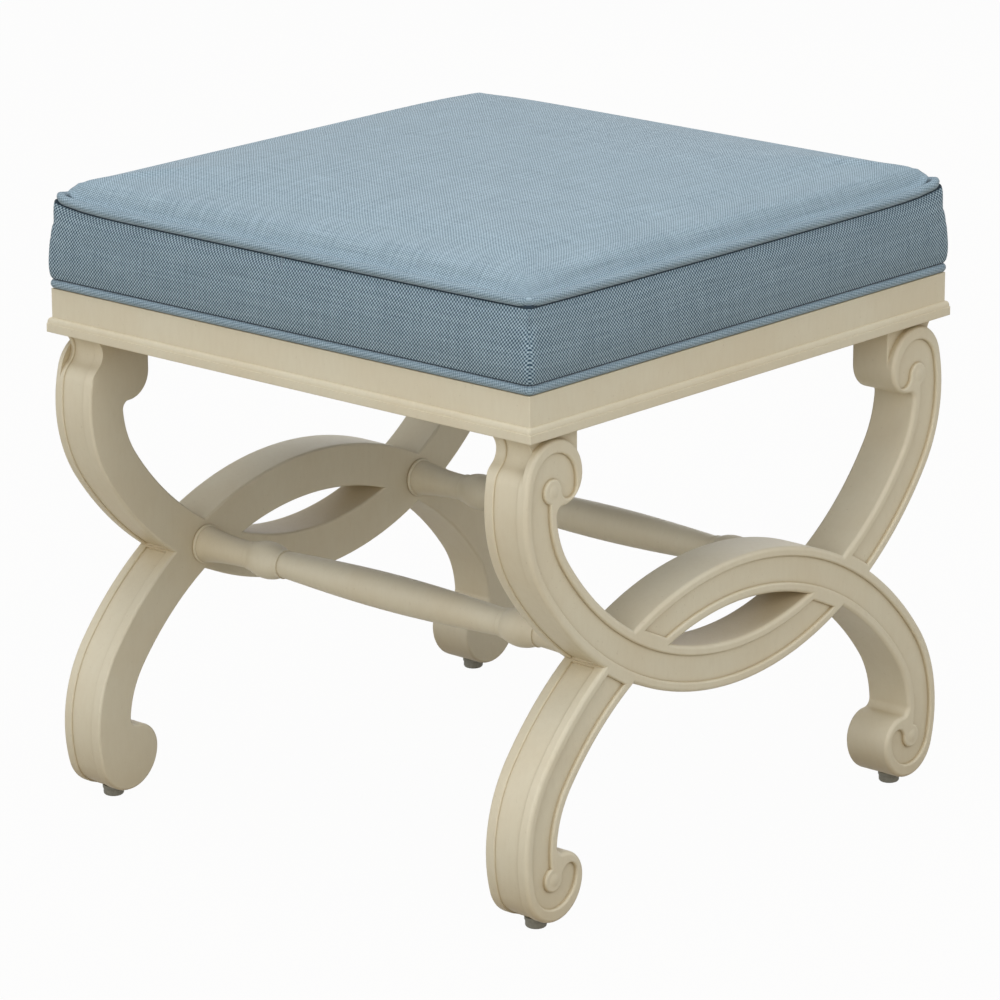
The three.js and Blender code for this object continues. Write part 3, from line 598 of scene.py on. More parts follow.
def weave(name, light, turn, contrast, seams=False):
    """Twill in the piece's own map: how light it is, which also paints in how lit the piece's faces are,
    and how far its ridges are turned, with painted shade along the seams.
    """
    finish = bpy.context.scene.stool_finish
    pitch = bpy.context.scene.stool_sizes.weave_pitch
    made = Nodes(bpy.data.materials.new(name))
    flat = made.add("ShaderNodeUVMap", uv_map="cloth").outputs[0]
    drift = made.add(
        "ShaderNodeTexNoise", {"Vector": flat, "Scale": 45.0, "Detail": 3.0, "Roughness": 0.6}
    ).outputs["Color"]
    drift = made.vector("SUBTRACT", drift, (0.5, 0.5, 0.5))
    drift = made.vector("MULTIPLY", drift, (YARN_DRIFT,) * 3)
    mapped = made.vector("ADD", flat, drift)
    turned = made.add(
        "ShaderNodeMapping", {"Vector": mapped, "Rotation": (0.0, 0.0, turn)}, vector_type="POINT"
    ).outputs[0]
    parts = made.add("ShaderNodeSeparateXYZ", {0: turned})
    ridge = made.math("SINE", made.times(parts.outputs[0], 2 * math.pi / pitch))
    beads = made.math("SINE", made.times(parts.outputs[1], 2 * math.pi / (pitch * BEAD_RATIO)))
    level = made.plus(made.times(ridge, 0.27), made.times(beads, 0.25))
    level = made.plus(made.times(level, contrast), light)
    slub = made.noise(made.stretched(flat, (16.0, 460.0, 1.0)), 1.0, 3.0, 0.7)
    warp = made.noise(made.stretched(flat, (520.0, 24.0, 1.0)), 1.0, 2.0, 0.6)
    fuzz = made.noise(flat, 1300.0, 2.0, 0.7)
    for grain, amount in ((slub, 0.5), (warp, 0.34), (fuzz, 0.5)):
        level = made.plus(level, made.times(made.math("SUBTRACT", grain, 0.5), amount))
    colour = made.mix(made.ramp(level, 0.0, 1.0), rgba(finish.cloth_dark), rgba(finish.cloth_light))
    # Painted shade at the seams: the cloth darkens towards the dark yarn where the seam mark says and, on
    # the boxing, in a thin line at its top and bottom seams.
    edge = made.add("ShaderNodeAttribute", attribute_name="seam").outputs["Fac"]
    if seams:
        across = made.add("ShaderNodeSeparateXYZ", {0: flat}).outputs[1]
        from_foot = made.math("SUBTRACT", across, BOXING_FOOT)
        from_head = made.math("SUBTRACT", BOXING_HEAD, across)
        from_seam = made.math("MINIMUM", from_foot, from_head)
        edge = made.math("MAXIMUM", edge, made.fall(from_seam, SEAM_SHADE_LINE * 0.6, SEAM_SHADE_LINE))
    colour = made.mix(edge, colour, rgba(finish.cloth_dark, 0.4))
    height = made.plus(made.times(ridge, 0.6), made.times(beads, 0.3))
    return made.shader(
        colour, 0.92, height, distance=0.0004, strength=0.5, Sheen_Weight=0.15, Sheen_Roughness=0.5
    )


def dust_cloth():
    made = Nodes(bpy.data.materials.new("dust_cloth_finish"))
    place = made.place()
    weft = made.add("ShaderNodeTexWave", {"Vector": place, "Scale": 480.0}, bands_direction="X")
    warp = made.add("ShaderNodeTexWave", {"Vector": place, "Scale": 480.0}, bands_direction="Y")
    mesh = made.times(weft.outputs["Fac"], warp.outputs["Fac"])
    colour = made.mix(mesh, rgba((0.012, 0.012, 0.013)), rgba((0.05, 0.05, 0.052)))
    return made.shader(colour, 0.95, mesh, distance=0.0002, strength=0.5)


def steel():
    made = Nodes(bpy.data.materials.new("steel_finish"))
    place = made.place()
    scratches = made.noise(made.stretched(place, (60.0, 60.0, 900.0)), 8.0, 3.0, 0.6)
    colour = made.mix(scratches, rgba((0.42, 0.42, 0.41)), rgba((0.62, 0.61, 0.58)))
    rough = made.plus(0.28, made.times(scratches, 0.25))
    return made.shader(colour, rough, scratches, distance=0.0001, strength=0.3, Metallic=1.0)


def glide_plastic():
    made = Nodes(bpy.data.materials.new("glide_plastic_finish"))
    place = made.place()
    mottled = made.noise(place, 700.0, 3.0, 0.6)
    scuffs = made.ramp(made.noise(made.stretched(place, (300.0, 300.0, 40.0)), 2.0, 2.0, 0.5), 0.5, 0.75)
    colour = made.mix(mottled, rgba((0.20, 0.195, 0.155)), rgba((0.29, 0.28, 0.235)))
    colour = made.tint(colour, (0.36, 0.35, 0.31), scuffs, 0.3)
    return made.shader(colour, 0.6, mottled, distance=0.0002, strength=0.4)


def material(name):
    """A finish by its name in the record."""
    found = bpy.data.materials.get(f"{name}_finish")
    if found:
        return found
    makers = {
        "painted_wood": painted_wood,
        "bare_wood": bare_wood,
        # The top and the boxing are one fabric: the top copy is made lighter as painted light from above,
        # and the boxing copy darker as painted shade on its sides.
        "top_cloth": lambda: weave("top_cloth_finish", 0.57, math.pi / 4, 0.7),
        "boxing_cloth": lambda: weave("boxing_cloth_finish", 0.37, -math.pi / 4, 1.35, True),
        "welt_cloth": lambda: weave("welt_cloth_finish", 0.48, math.radians(20), 0.5),
        "dust_cloth": dust_cloth,
        "steel": steel,
        "glide_plastic": glide_plastic,
    }
    return makers[name]()


# Curved members

FRAME_PIECES = (
    # upper member, long, side of its scroll
    (True, True, -1),
    (True, False, 1),
    (False, True, 1),
    (False, False, -1),
)


class Member:
    """A member's lines, from the middle of its outer edge: x outwards, y towards its scroll."""

    def __init__(self, crown, up, span, widest, eye_drop):
        sizes = bpy.context.scene.stool_sizes
        half = stool_half()
        self.crown = crown
        self.up = up
        self.side = Vector((half + LEG_OVERHANG - SIDE_RADIUS, widest))
        self.bow_radius = (self.side.length_squared - SIDE_RADIUS**2) / (2 * (widest - SIDE_RADIUS))
        self.bow = Vector((0, self.bow_radius))
        self.bow_end = direction(self.bow, self.side)
        self.scroll = self.inside(SIDE_RADIUS - SCROLL_RADIUS, span - SCROLL_RADIUS)
        self.tip = self.scroll + Vector((SCROLL_TIP_RADIUS - SCROLL_RADIUS, 0))
        self.volute = self.inside(
            SIDE_RADIUS - sizes.rim_width - VOLUTE_RADIUS, span - VOLUTE_RIM - VOLUTE_RADIUS
        )
        self.eye = self.scroll + Vector((EYE_SHIFT, -eye_drop))

    def inside(self, apart, height):
        return Vector((self.side.x + math.sqrt(apart**2 - (height - self.side.y) ** 2), height))

    def crossing(self, radius, other, other_radius):
        """The angle about the bow where a line of it meets a line of the other member's bow."""
        apart = self.bow_radius + other.bow_radius - (ARCH_HEIGHT - BOWL_HEIGHT)
        along = (apart**2 + radius**2 - other_radius**2) / (2 * apart)
        return math.acos(along / radius) - math.pi / 2


def stool_half():
    return -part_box("front_apron_rail")[0].y


def apron_underside():
    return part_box("front_apron_rail")[0].z


def member_front():
    return -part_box("front_upper_long_member")[0].y


def member_back():
    return -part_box("front_upper_long_member")[1].y


def upper_and_lower():
    underside = apron_underside()
    upper = Member(
        BOWL_HEIGHT,
        1,
        underside - SCROLL_DROP - BOWL_HEIGHT,
        underside - UPPER_WIDEST_DROP - BOWL_HEIGHT,
        UPPER_EYE_DROP,
    )
    glide_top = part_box("front_left_glide")[1].z
    lower = Member(
        ARCH_HEIGHT,
        -1,
        ARCH_HEIGHT - glide_top + FOOT_FLAT_CUT,
        ARCH_HEIGHT - LOWER_WIDEST_HEIGHT,
        LOWER_EYE_DROP,
    )
    return upper, lower


def mirrored(angle):
    return -math.pi - angle


def edge_arcs(member, outer, inner):
    """A member's outline round its scroll, from an angle on its outer edge to one on its inner edge."""
    width = bpy.context.scene.stool_sizes.arm_width
    inner_side = SIDE_RADIUS - width
    side_end = direction(member.side, member.scroll)
    round_tip = SCROLL_TIP_RADIUS + SCROLL_FILLET
    fillet = meeting(member.side, inner_side - SCROLL_FILLET, member.tip, round_tip)
    tip_end = direction(member.tip, fillet) + 2 * math.pi
    fillet_end = direction(member.side, fillet)
    return [
        (member.bow, member.bow_radius, outer, member.bow_end),
        (member.side, SIDE_RADIUS, member.bow_end, side_end),
        (member.scroll, SCROLL_RADIUS, side_end, math.pi),
        (member.tip, SCROLL_TIP_RADIUS, math.pi, tip_end),
        (fillet, SCROLL_FILLET, tip_end - math.pi, fillet_end),
        (member.side, inner_side, fillet_end, member.bow_end),
        (member.bow, member.bow_radius - width, member.bow_end, inner),
    ]


def backwards(arcs):
    return [(centre, radius, end, start) for centre, radius, start, end in reversed(arcs)]


def in_frame(member, arcs):
    """Arcs in a member's own terms, as they lie at the right of the front frame."""
    crown, up = member.crown, member.up
    return [
        (Vector((centre[0], crown + up * centre[1])), radius, up * start, up * end)
        for centre, radius, start, end in arcs
    ]


def crossed_outline(upper, lower):
    """The outline of both members right of the middle, crossing each other, from past the middle."""
    width = bpy.context.scene.stool_sizes.arm_width
    middle = -math.pi / 2

    def past(radius):
        return middle - REACH / radius

    def meets(member, inside, other, other_inside):
        return member.crossing(
            member.bow_radius - width * inside, other, other.bow_radius - width * other_inside
        )

    def bow(member, inside, start, end):
        return in_frame(member, [(member.bow, member.bow_radius - width * inside, start, end)])

    inner_upper, inner_lower = upper.bow_radius - width, lower.bow_radius - width
    low_end = edge_arcs(lower, meets(lower, 0, upper, 0), meets(lower, 1, upper, 0))
    high_end = edge_arcs(upper, meets(upper, 0, lower, 0), meets(upper, 1, lower, 0))
    return [
        *bow(upper, 0, past(upper.bow_radius), meets(upper, 0, lower, 1)),
        *in_frame(lower, backwards(low_end)),
        *in_frame(upper, high_end),
        *bow(lower, 0, meets(lower, 0, upper, 1), past(lower.bow_radius)),
        *bow(lower, 1, past(inner_lower), meets(lower, 1, upper, 1)),
        *bow(upper, 1, meets(upper, 1, lower, 1), past(inner_upper)),
    ]


def recess(member, other, long, grow):
    """The channel between the rims: it ends squared before the joint and curls round the eye."""
    sizes = bpy.context.scene.stool_sizes
    outer_bow = member.bow_radius - sizes.rim_width + grow
    inner_bow = member.bow_radius - sizes.arm_width + sizes.rim_width - grow
    outer_side = SIDE_RADIUS - sizes.rim_width + grow
    inner_side = SIDE_RADIUS - sizes.arm_width + sizes.rim_width - grow
    end_gap = RECESS_END - grow
    edge = other.bow_radius - sizes.arm_width - end_gap if long else other.bow_radius + end_gap
    outer = member.crossing(outer_bow, other, edge)
    inner = member.crossing(inner_bow, other, edge)
    if long:
        outer, inner = mirrored(outer), mirrored(inner)
    volute_start = direction(member.side, member.volute)
    eye_end = meeting(member.side, inner_side, member.eye, EYE_RADIUS - grow)
    volute_left = member.volute.x - VOLUTE_RADIUS
    eye_left = member.eye.x - EYE_RADIUS
    end_centre = Vector(((eye_left + volute_left) / 2, min(member.eye.y, member.volute.y)))
    return [
        (member.bow, outer_bow, outer, member.bow_end),
        (member.side, outer_side, member.bow_end, volute_start),
        (member.volute, VOLUTE_RADIUS + grow, volute_start, math.pi),
        (end_centre, (eye_left - volute_left) / 2 + grow, math.pi, 2 * math.pi),
        (member.eye, EYE_RADIUS - grow, math.pi, direction(member.eye, eye_end)),
        (member.side, inner_side, direction(member.side, eye_end), member.bow_end),
        (member.bow, inner_bow, member.bow_end, inner),
    ]


def cove_arcs(member, out):
    """The arcs from a leg's outer side over its shoulder into the cove, moved out by a distance."""
    centre = Vector((member.scroll.x + COVE_OFFSET, apron_underside() - member.crown - COVE_DROP))
    shoulder = meeting(member.side, SIDE_RADIUS - COVE_SHOULDER, centre, COVE_RADIUS + COVE_SHOULDER)
    turn = direction(shoulder, centre)
    return [
        (shoulder, COVE_SHOULDER + out, direction(member.side, shoulder), turn),
        (centre, COVE_RADIUS - out, turn + math.pi, math.pi / 2),
    ]


def panel_arcs(member, start, out):
    """An arc line along the outer side, from an angle about the bow, moved out by a distance."""
    if member.up > 0:
        onward = cove_arcs(member, out)
    else:
        side_end = direction(member.side, member.scroll)
        onward = [(member.scroll, SCROLL_RADIUS + out, side_end, side_end + PANEL_TURN)]
    return [
        (member.bow, member.bow_radius + out, start, member.bow_end),
        (member.side, SIDE_RADIUS + out, member.bow_end, onward[0][2]),
        *onward,
    ]


def side_panel(member, other):
    """The sunk panel in the outer side: up to the apron, or round the foot's scroll."""
    start = member.crossing(member.bow_radius, other, other.bow_radius)
    start += PANEL_MARGIN / member.bow_radius
    depth = bpy.context.scene.stool_sizes.panel_depth
    return panel_arcs(member, start, REACH) + backwards(panel_arcs(member, start, -depth))


def circle(centre, radius):
    return [(centre, radius, 0, math.pi), (centre, radius, math.pi, 2 * math.pi)]


def choose_faces(test):
    """Selects the faces that pass a test, in edit mode."""
    data = bpy.context.object.data
    bpy.ops.mesh.select_mode(type="FACE")
    bpy.ops.mesh.select_all(action="DESELECT")
    mesh = bmesh.from_edit_mesh(data)
    for face in mesh.faces:
        face.select = test(face)
    bmesh.update_edit_mesh(data)


def choose_face(facing, level):
    """Selects the face that faces along Y at a distance in front of the stool's middle."""

    def there(face):
        flat = all(abs(vert.co.y + level) < LEVEL for vert in face.verts)
        return flat and face.normal.y * facing > SQUARE

    choose_faces(there)


def round_over(radius, steps, hollow=False):
    """Rounds the edge of the selected face with insets, as a round edge or as a hollow one."""
    for step in range(steps):
        first, second = (math.pi / 2 * (step + i) / steps for i in (0, 1))
        drop = radius * (math.cos(first) - math.cos(second))
        climb = radius * (math.sin(second) - math.sin(first))
        if hollow:
            drop, climb = climb, drop
        bpy.ops.mesh.inset(thickness=drop, depth=climb, use_even_offset=True)


def panel_tool(arcs):
    """What is sunk between the raised strips of the outer side, flared where it leaves them."""
    sizes = bpy.context.scene.stool_sizes
    edge = sizes.strip_rounding
    near = member_back() + sizes.strip_width + edge
    far = member_front() - sizes.strip_width - edge
    tool = slab("panel", arcs, near, far)
    bpy.ops.object.mode_set(mode="EDIT")
    for facing, level in ((-1, far), (1, near)):
        choose_face(facing, level)
        bpy.ops.mesh.inset(thickness=sizes.panel_depth - edge, depth=0, use_even_offset=True)
        round_over(edge, STRIP_STEPS, hollow=True)
    leave()
    return tool


def rounded_solid(near, far, front_radius, front_steps):
    """Makes the outline drawn at near a solid that reaches to far, with rounded edges beyond both."""
    fill()
    extrude((0, near - far, 0))
    face_outwards()
    choose_face(-1, far)
    round_over(front_radius, front_steps)
    choose_face(1, near)
    round_over(bpy.context.scene.stool_sizes.back_rounding, BACK_STEPS)
    leave()


def recess_tool(member, other, long):
    """What is carved out between a member's rims, flared where it leaves the face."""
    sizes = bpy.context.scene.stool_sizes
    front, edge = member_front(), sizes.recess_rounding
    tool = draw_arcs("recess", recess(member, other, long, edge), -(front + REACH))
    fill()
    extrude((0, REACH, 0))
    face_outwards()
    choose_face(1, front)
    round_over(edge, RECESS_STEPS, hollow=True)
    extrude((0, sizes.recess_depth - edge, 0))
    face_outwards()
    leave()
    return tool


def eye_button(member):
    """The domed button in the middle of a volute."""
    depth = bpy.context.scene.stool_sizes.recess_depth
    place = (member.eye.x, 0, member.eye.y)
    bpy.ops.mesh.primitive_uv_sphere_add(
        segments=40, ring_count=20, radius=EYE_RADIUS - EYE_GAP, location=place
    )
    button = bpy.context.object
    rise = (depth + EYE_RISE) / EYE_RADIUS
    bpy.ops.transform.resize(value=(1, rise, 1), orient_type="GLOBAL")
    bpy.ops.transform.translate(value=(0, depth - member_front(), 0))
    bpy.ops.object.transform_apply()
    return button


def in_place(tool, member, side):
    """Moves a tool from a member's own terms to its place in the front frame."""
    settle(tool, Matrix.Translation((0, 0, member.crown)) @ Matrix.Diagonal((side, 1, member.up, 1)))
    return tool


def half_box(start_x, end_x, low_z, high_z):
    """A box that reaches through a frame from front to back."""
    front, back = member_front() + REACH, member_back() - REACH
    bpy.ops.mesh.primitive_cube_add(
        size=1,
        location=((start_x + end_x) / 2, -(front + back) / 2, (low_z + high_z) / 2),
        scale=(abs(end_x - start_x), front - back, high_z - low_z),
    )
    bpy.ops.object.transform_apply()
    return bpy.context.object


def through(member, radius):
    """A round tool about the middle of a member's bow, through the whole frame."""
    centre = (0, member.crown + member.up * member.bow.y)
    return slab("round", circle(centre, radius), member_back() - 2 * REACH, member_front() + 2 * REACH)


def inside_bow(member, side, low_z, high_z):
    """What lies within a member's inner edge on one side, where the other member ends against it."""
    far = stool_half() + REACH
    width = bpy.context.scene.stool_sizes.arm_width
    box = half_box(0, side * far, low_z, high_z)
    combine(box, through(member, member.bow_radius - width - JOINT_GAP), "INTERSECT")
    return box


def outside_bow(member, side, low_z, high_z):
    """What lies outside a member's outer edge on one side."""
    far, near = 2 * stool_half(), stool_half() / 3
    box = half_box(side * near, side * far, low_z, high_z)
    cut(box, through(member, member.bow_radius + JOINT_GAP))
    return box


def cove_tool(member, near, far):
    """What lies outside the curve that leads from the scroll to the apron."""
    top = apron_underside() - member.crown + REACH
    arcs = cove_arcs(member, 0)
    low, high = polar(*arcs[0][:3]), polar(arcs[1][0], arcs[1][1], arcs[1][3])
    tool = draw_arcs("cove", arcs, -far)
    extrude((0, 0, top - high[1]))
    extrude((REACH, 0, 0))
    extrude((0, 0, low[1] - top))
    fill()
    extrude((0, far - near, 0))
    face_outwards()
    leave()
    return tool


def add_neck(body, member, side):
    """Joins the neck behind an upper scroll to the apron, with its cove."""
    sizes = bpy.context.scene.stool_sizes
    top = apron_underside() - member.crown
    front = member_front() - NECK_SETBACK
    back = member_back()
    near, far = back + sizes.back_rounding, front - sizes.neck_rounding
    left, right = member.scroll.x - SCROLL_RADIUS, member.scroll.x + SCROLL_RADIUS
    foot = member.scroll.y
    corners = ((left, foot), (right, foot), (right, top + REACH), (left, top + REACH))
    neck = draw_line("neck", [(x, -near, z) for x, z in corners])
    rounded_solid(near, far, sizes.neck_rounding, NECK_STEPS)
    keep_part(neck, [((0, 0, top), (0, 0, 1))], True)
    join(body, in_place(neck, member, side))
    cut(body, in_place(cove_tool(member, back - REACH, front + CLEAR), member, side))


def model_frame(upper, lower):
    """The whole front frame as one rounded and carved body."""
    sizes = bpy.context.scene.stool_sizes
    near, far = member_back() + sizes.back_rounding, member_front() - sizes.rim_rounding
    body = draw_arcs("frame", crossed_outline(upper, lower), -near)
    rounded_solid(near, far, sizes.rim_rounding, RIM_STEPS)
    keep_part(body, [((0, 0, 0), (-1, 0, 0))], False)
    edit_points(body)
    bpy.ops.mesh.duplicate()
    bpy.ops.transform.resize(value=(-1, 1, 1), center_override=(0, 0, 0))
    bpy.ops.mesh.flip_normals()
    face_outwards()
    leave()
    keep_part(body, [((0, 0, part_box("front_left_glide")[1].z), (0, 0, -1))], True)
    for side in (-1, 1):
        add_neck(body, upper, side)
    clean(body)
    for is_upper, long, side in FRAME_PIECES:
        member, other = (upper, lower) if is_upper else (lower, upper)
        cut(body, in_place(recess_tool(member, other, long), member, side))
        cut(body, in_place(panel_tool(side_panel(member, other)), member, side))
        join(body, in_place(eye_button(member), member, side))
    return body


def split_frame(body, upper, lower):
    """Cuts the frame along its joints: the lower member is whole at the right, the upper at the left."""
    far, top = 2 * stool_half(), 2 * stool_half()
    high = upper.crown + upper.bow.y + upper.bow_radius * math.sin(upper.bow_end)
    low = lower.crown - lower.bow.y - lower.bow_radius * math.sin(lower.bow_end)
    whole = Matrix.Identity(4)
    pieces = {}
    for name, tool in (
        ("upper_short", outside_bow(lower, 1, low, top)),
        ("lower_short", outside_bow(upper, -1, -top, high)),
    ):
        pieces[name] = copy_of(body, name, whole)
        combine(pieces[name], copy_of(tool, "tool", whole), "INTERSECT")
        cut(body, tool)
    for name, taken, end, rest in (
        ("lower_long", inside_bow(lower, 1, low, top), inside_bow(upper, -1, -top, high), (-far, 0)),
        ("upper_long", inside_bow(upper, -1, -top, high), inside_bow(lower, 1, low, top), (0, far)),
    ):
        piece = pieces[name] = copy_of(body, name, whole)
        cut(piece, taken)
        beyond = half_box(*rest, -top, top)
        cut(beyond, end)
        cut(piece, beyond)
    bpy.data.objects.remove(body)
    return pieces


class STOOL_OT_frames(bpy.types.Operator):
    """Models the front frame, cuts it into its four members and mirrors them to the rear"""

    bl_idname = "stool.frames"
    bl_label = "Crossed frames"

    def execute(self, context):
        upper, lower = upper_and_lower()
        pieces = split_frame(model_frame(upper, lower), upper, lower)
        for name, model in pieces.items():
            for end, facing in (("front", 1), ("rear", -1)):
                piece = copy_of(model, f"{end}_{name}_carved", Matrix.Diagonal((1, facing, 1, 1)))
                smooth(piece)
                finish_piece(piece, "painted_wood", f"{end}_{name}_member")
            bpy.data.objects.remove(model)
        return {"FINISHED"}


# Turned pieces


def shares(steps):
    """Even steps from 0 to 1."""
    return [i / steps for i in range(steps + 1)]


def spin_round(centre, axis, steps):
    bpy.ops.mesh.select_all(action="SELECT")
    bpy.ops.mesh.spin(steps=steps, angle=2 * math.pi, center=centre, axis=axis)
    face_outwards()


def stretcher_profile():
    """Radius and distance from the middle, from the middle to one end."""
    end = member_back()
    belly_end = BEAD_START - BEAD_FILLET
    trumpet_start = BEAD_END + BEAD_FILLET
    profile = []
    for share in shares(PROFILE_STEPS):
        swell = (BELLY_RADIUS - WAIST_RADIUS) * math.cos(math.pi / 2 * share)
        profile.append((WAIST_RADIUS + swell, belly_end * share))
    profile.append((BEAD_FILLET_RADIUS, belly_end + TURNING_SLOPE))
    profile.append((BEAD_FILLET_RADIUS, BEAD_START - TURNING_SLOPE))
    for share in shares(PROFILE_STEPS):
        round_out = (BEAD_RADIUS - BEAD_FILLET_RADIUS) * math.sin(math.pi * share) ** BEAD_POWER
        profile.append((BEAD_FILLET_RADIUS + round_out, BEAD_START + (BEAD_END - BEAD_START) * share))
    profile.append((BEAD_FILLET_RADIUS, trumpet_start - TRUMPET_SLOPE))
    flare_end = end - FLANGE - FLANGE_SLOPE
    for share in shares(PROFILE_STEPS):
        flare = (TRUMPET_RADIUS - WAIST_RADIUS) * share**TRUMPET_POWER
        profile.append((WAIST_RADIUS + flare, trumpet_start + (flare_end - trumpet_start) * share))
    edge = FLANGE / 2
    for share in shares(FLANGE_STEPS):
        turn = math.pi * share
        bulge = FLANGE_RADIUS - edge + edge * math.sin(turn)
        profile.append((bulge, end - edge - edge * math.cos(turn)))
    return profile


class STOOL_OT_stretchers(bpy.types.Operator):
    """Turns the two stretchers between the frames"""

    bl_idname = "stool.stretchers"
    bl_label = "Stretchers"

    def execute(self, context):
        low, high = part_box("right_stretcher")
        x, z = (low.x + high.x) / 2, (low.z + high.z) / 2
        half = stretcher_profile()
        whole = [(radius, -distance) for radius, distance in reversed(half[1:])] + half
        ends = [(0, whole[0][1]), *whole, (0, whole[-1][1])]
        model = draw_line("stretcher", [(x + radius, distance, z) for radius, distance in ends])
        spin_round((x, 0, z), (0, 1, 0), steps=56)
        leave()
        for name, side in (("left", -1), ("right", 1)):
            piece = copy_of(model, f"{name}_turned_stretcher", Matrix.Diagonal((side, 1, 1, 1)))
            smooth(piece, TURNED_SMOOTH_ANGLE)
            finish_piece(piece, "painted_wood", f"{name}_stretcher")
        bpy.data.objects.remove(model)
        return {"FINISHED"}


class STOOL_OT_glides(bpy.types.Operator):
    """Turns the four glides under the feet"""

    bl_idname = "stool.glides"
    bl_label = "Glides"

    def execute(self, context):
        for corner in CORNERS:
            low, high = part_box(f"{corner}_glide")
            x, y = (low.x + high.x) / 2, (low.y + high.y) / 2
            radius, height = (high.x - low.x) / 2, high.z
            inner = radius - GLIDE_LIP
            lip_start, lip_bend, lip_end = (height * share for share in GLIDE_LIP_SHARES)
            bevel_width, bevel_height = GLIDE_TOP_BEVEL
            points = [(0, 0)]
            for share in shares(GLIDE_STEPS):
                turn = math.pi / 2 * share
                out, up = math.sin(turn) - 1, 1 - math.cos(turn)
                points.append((inner + GLIDE_ROUNDING * out, GLIDE_ROUNDING * up))
            points += [
                (inner, lip_start),
                (radius - GLIDE_LIP * 0.4, lip_bend),
                (radius, lip_end),
                (radius, height - bevel_height),
                (radius - bevel_width, height),
                (0, height),
            ]
            piece = draw_line(f"{corner}_foot_glide", [(x + r, y, z) for r, z in points])
            spin_round((x, y, 0), (0, 0, 1), steps=48)
            leave()
            smooth(piece)
            finish_piece(piece, "glide_plastic", f"{corner}_glide")
        return {"FINISHED"}


# Apron


def lip_profile():
    """Distance outside the rail and height of the lip's moulding, as shares of its box."""
    return (
        (-0.1, 0), (0.80, 0), (0.90, 0.012), (0.97, 0.045), (1, 0.10), (1, 0.545), (0.985, 0.575),
        (0.95, 0.59), (0.80, 0.598), (0.775, 0.612), (0.77, 0.64), (0.755, 0.72), (0.70, 0.80),
        (0.60, 0.875), (0.46, 0.935), (0.28, 0.975), (0.10, 0.995), (-0.1, 1),
    )


def mitred_bars(name, node, section, half):
    """A bar along the front, cut at 45 degrees at both ends, and its copies for the other sides."""
    model = draw_line(name, [(-half, y, z) for y, z in section])
    extrude((0, section[0][0] - section[-1][0], section[0][1] - section[-1][1]))
    fill()
    extrude((2 * half, 0, 0))
    face_outwards()
    corner = half - MITRE_WORN
    for end in (-1, 1):
        slice_off((0, 0, 0), (end, 1, 0), True)
        slice_off((end * corner, -corner, 0), (end, -1, 0), True)
    face_outwards()
    leave()
    for turn, side in enumerate(SIDES):
        piece = copy_of(model, f"{side}_{name}", Matrix.Rotation(math.pi / 2 * turn, 4, "Z"))
        smooth(piece)
        finish_piece(piece, "painted_wood", f"{side}_{node}")
    bpy.data.objects.remove(model)


class STOOL_OT_apron(bpy.types.Operator):
    """Models the four mitred rails and the lip moulding under them"""

    bl_idname = "stool.apron"
    bl_label = "Apron"

    def execute(self, context):
        low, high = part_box("front_apron_rail")
        half, inner = -low.y, -high.y
        edge = RAIL_TOP_ROUNDING
        bend = edge * 0.3  # how far the middle of the rounding lies inside the corner
        rail = [
            (-half, low.z),
            (-half, high.z - edge),
            (-half + bend, high.z - bend),
            (-half + edge, high.z),
            (-inner, high.z),
            (-inner, low.z),
        ]
        mitred_bars("painted_rail", "apron_rail", rail, half)
        lip_low, lip_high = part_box("front_lip_moulding")
        projection, height = -lip_low.y - half, lip_high.z - lip_low.z
        lip = [(-half - projection * out, low.z + height * up) for out, up in lip_profile()]
        mitred_bars("painted_lip", "lip_moulding", lip, half + projection)
        return {"FINISHED"}


# Cushion


def clamped(share):
    return min(1.0, max(0.0, share))


def sideways(co, half):
    """1 at the corners that the camera sees at the left and right, 0 at the near and far ones."""
    return abs(co.x - co.y) / (2 * half)


def from_corner(co):
    """How far a point of the front side lies from its nearer vertical edge."""
    return (abs(co.y) - abs(co.x)) / math.sqrt(2)


def up_boxing(co):
    """How far up the boxing a point lies, from 0 to 1."""
    return (co.z - BOXING_FOOT) / (BOXING_HEAD - BOXING_FOOT)


def crown_height(inset):
    """Height of the crowned top over the top welt's middle, at a distance inside the cover's edge."""
    puff = 1 - math.exp(-inset / PUFF_REACH)
    return PUFF_HEIGHT * puff + CROWN_RISE * (1 - (1 - inset / COVER_HALF) ** 2)


def corner_drop(co):
    """How much lower the crown lies near a corner."""
    cornered = abs(co.x * co.y / COVER_HALF**2) ** CORNER_DROP_POWER
    above = clamped((co.z - TOP_WELT_Z) / PUFF_HEIGHT)
    spared = CORNER_DROP_SPARED * sideways(co, COVER_HALF)
    return CORNER_DROP * min(1.0, cornered) * above * (1 - spared)


def corner_fill(co):
    """How far the stuffing lifts the cover just inside the left and right corners of the welt."""
    inset = COVER_HALF - (abs(co.x) + abs(co.y)) / 2
    inwards = (inset - CORNER_FILL_REACH) / CORNER_FILL_REACH
    aside = (abs(co.x) - abs(co.y)) / 2 / CORNER_FILL_REACH
    bump = math.exp(-(inwards**2) - aside**2)
    return CORNER_FILL * bump * sideways(co, COVER_HALF) * clamped(inset / CORNER_FILL_FOOT)


def laid_flat(co):
    """Where a point of the cover lay on the flat cloth, before it was pulled down at the sides."""
    pulled = max(0.0, TOP_WELT_Z + PUFF_HEIGHT - co.z)
    near_x = math.exp((abs(co.x) - COVER_HALF) / PUFF_REACH)
    near_y = math.exp((abs(co.y) - COVER_HALF) / PUFF_REACH)
    reach = math.hypot(near_x, near_y)
    return (
        co.x + math.copysign(pulled * near_x / reach, co.x),
        co.y + math.copysign(pulled * near_y / reach, co.y),
    )


def ear(co):
    """How far the stuffing lifts the top seam near a corner, most at the left and right ones."""
    low = min(abs(co.x), abs(co.y))
    share = EAR_SHARE + (1 - EAR_SHARE) * sideways(co, TOP_WELT_HALF)
    return EAR_RISE * math.exp((low - TOP_WELT_HALF) / EAR_REACH) * share


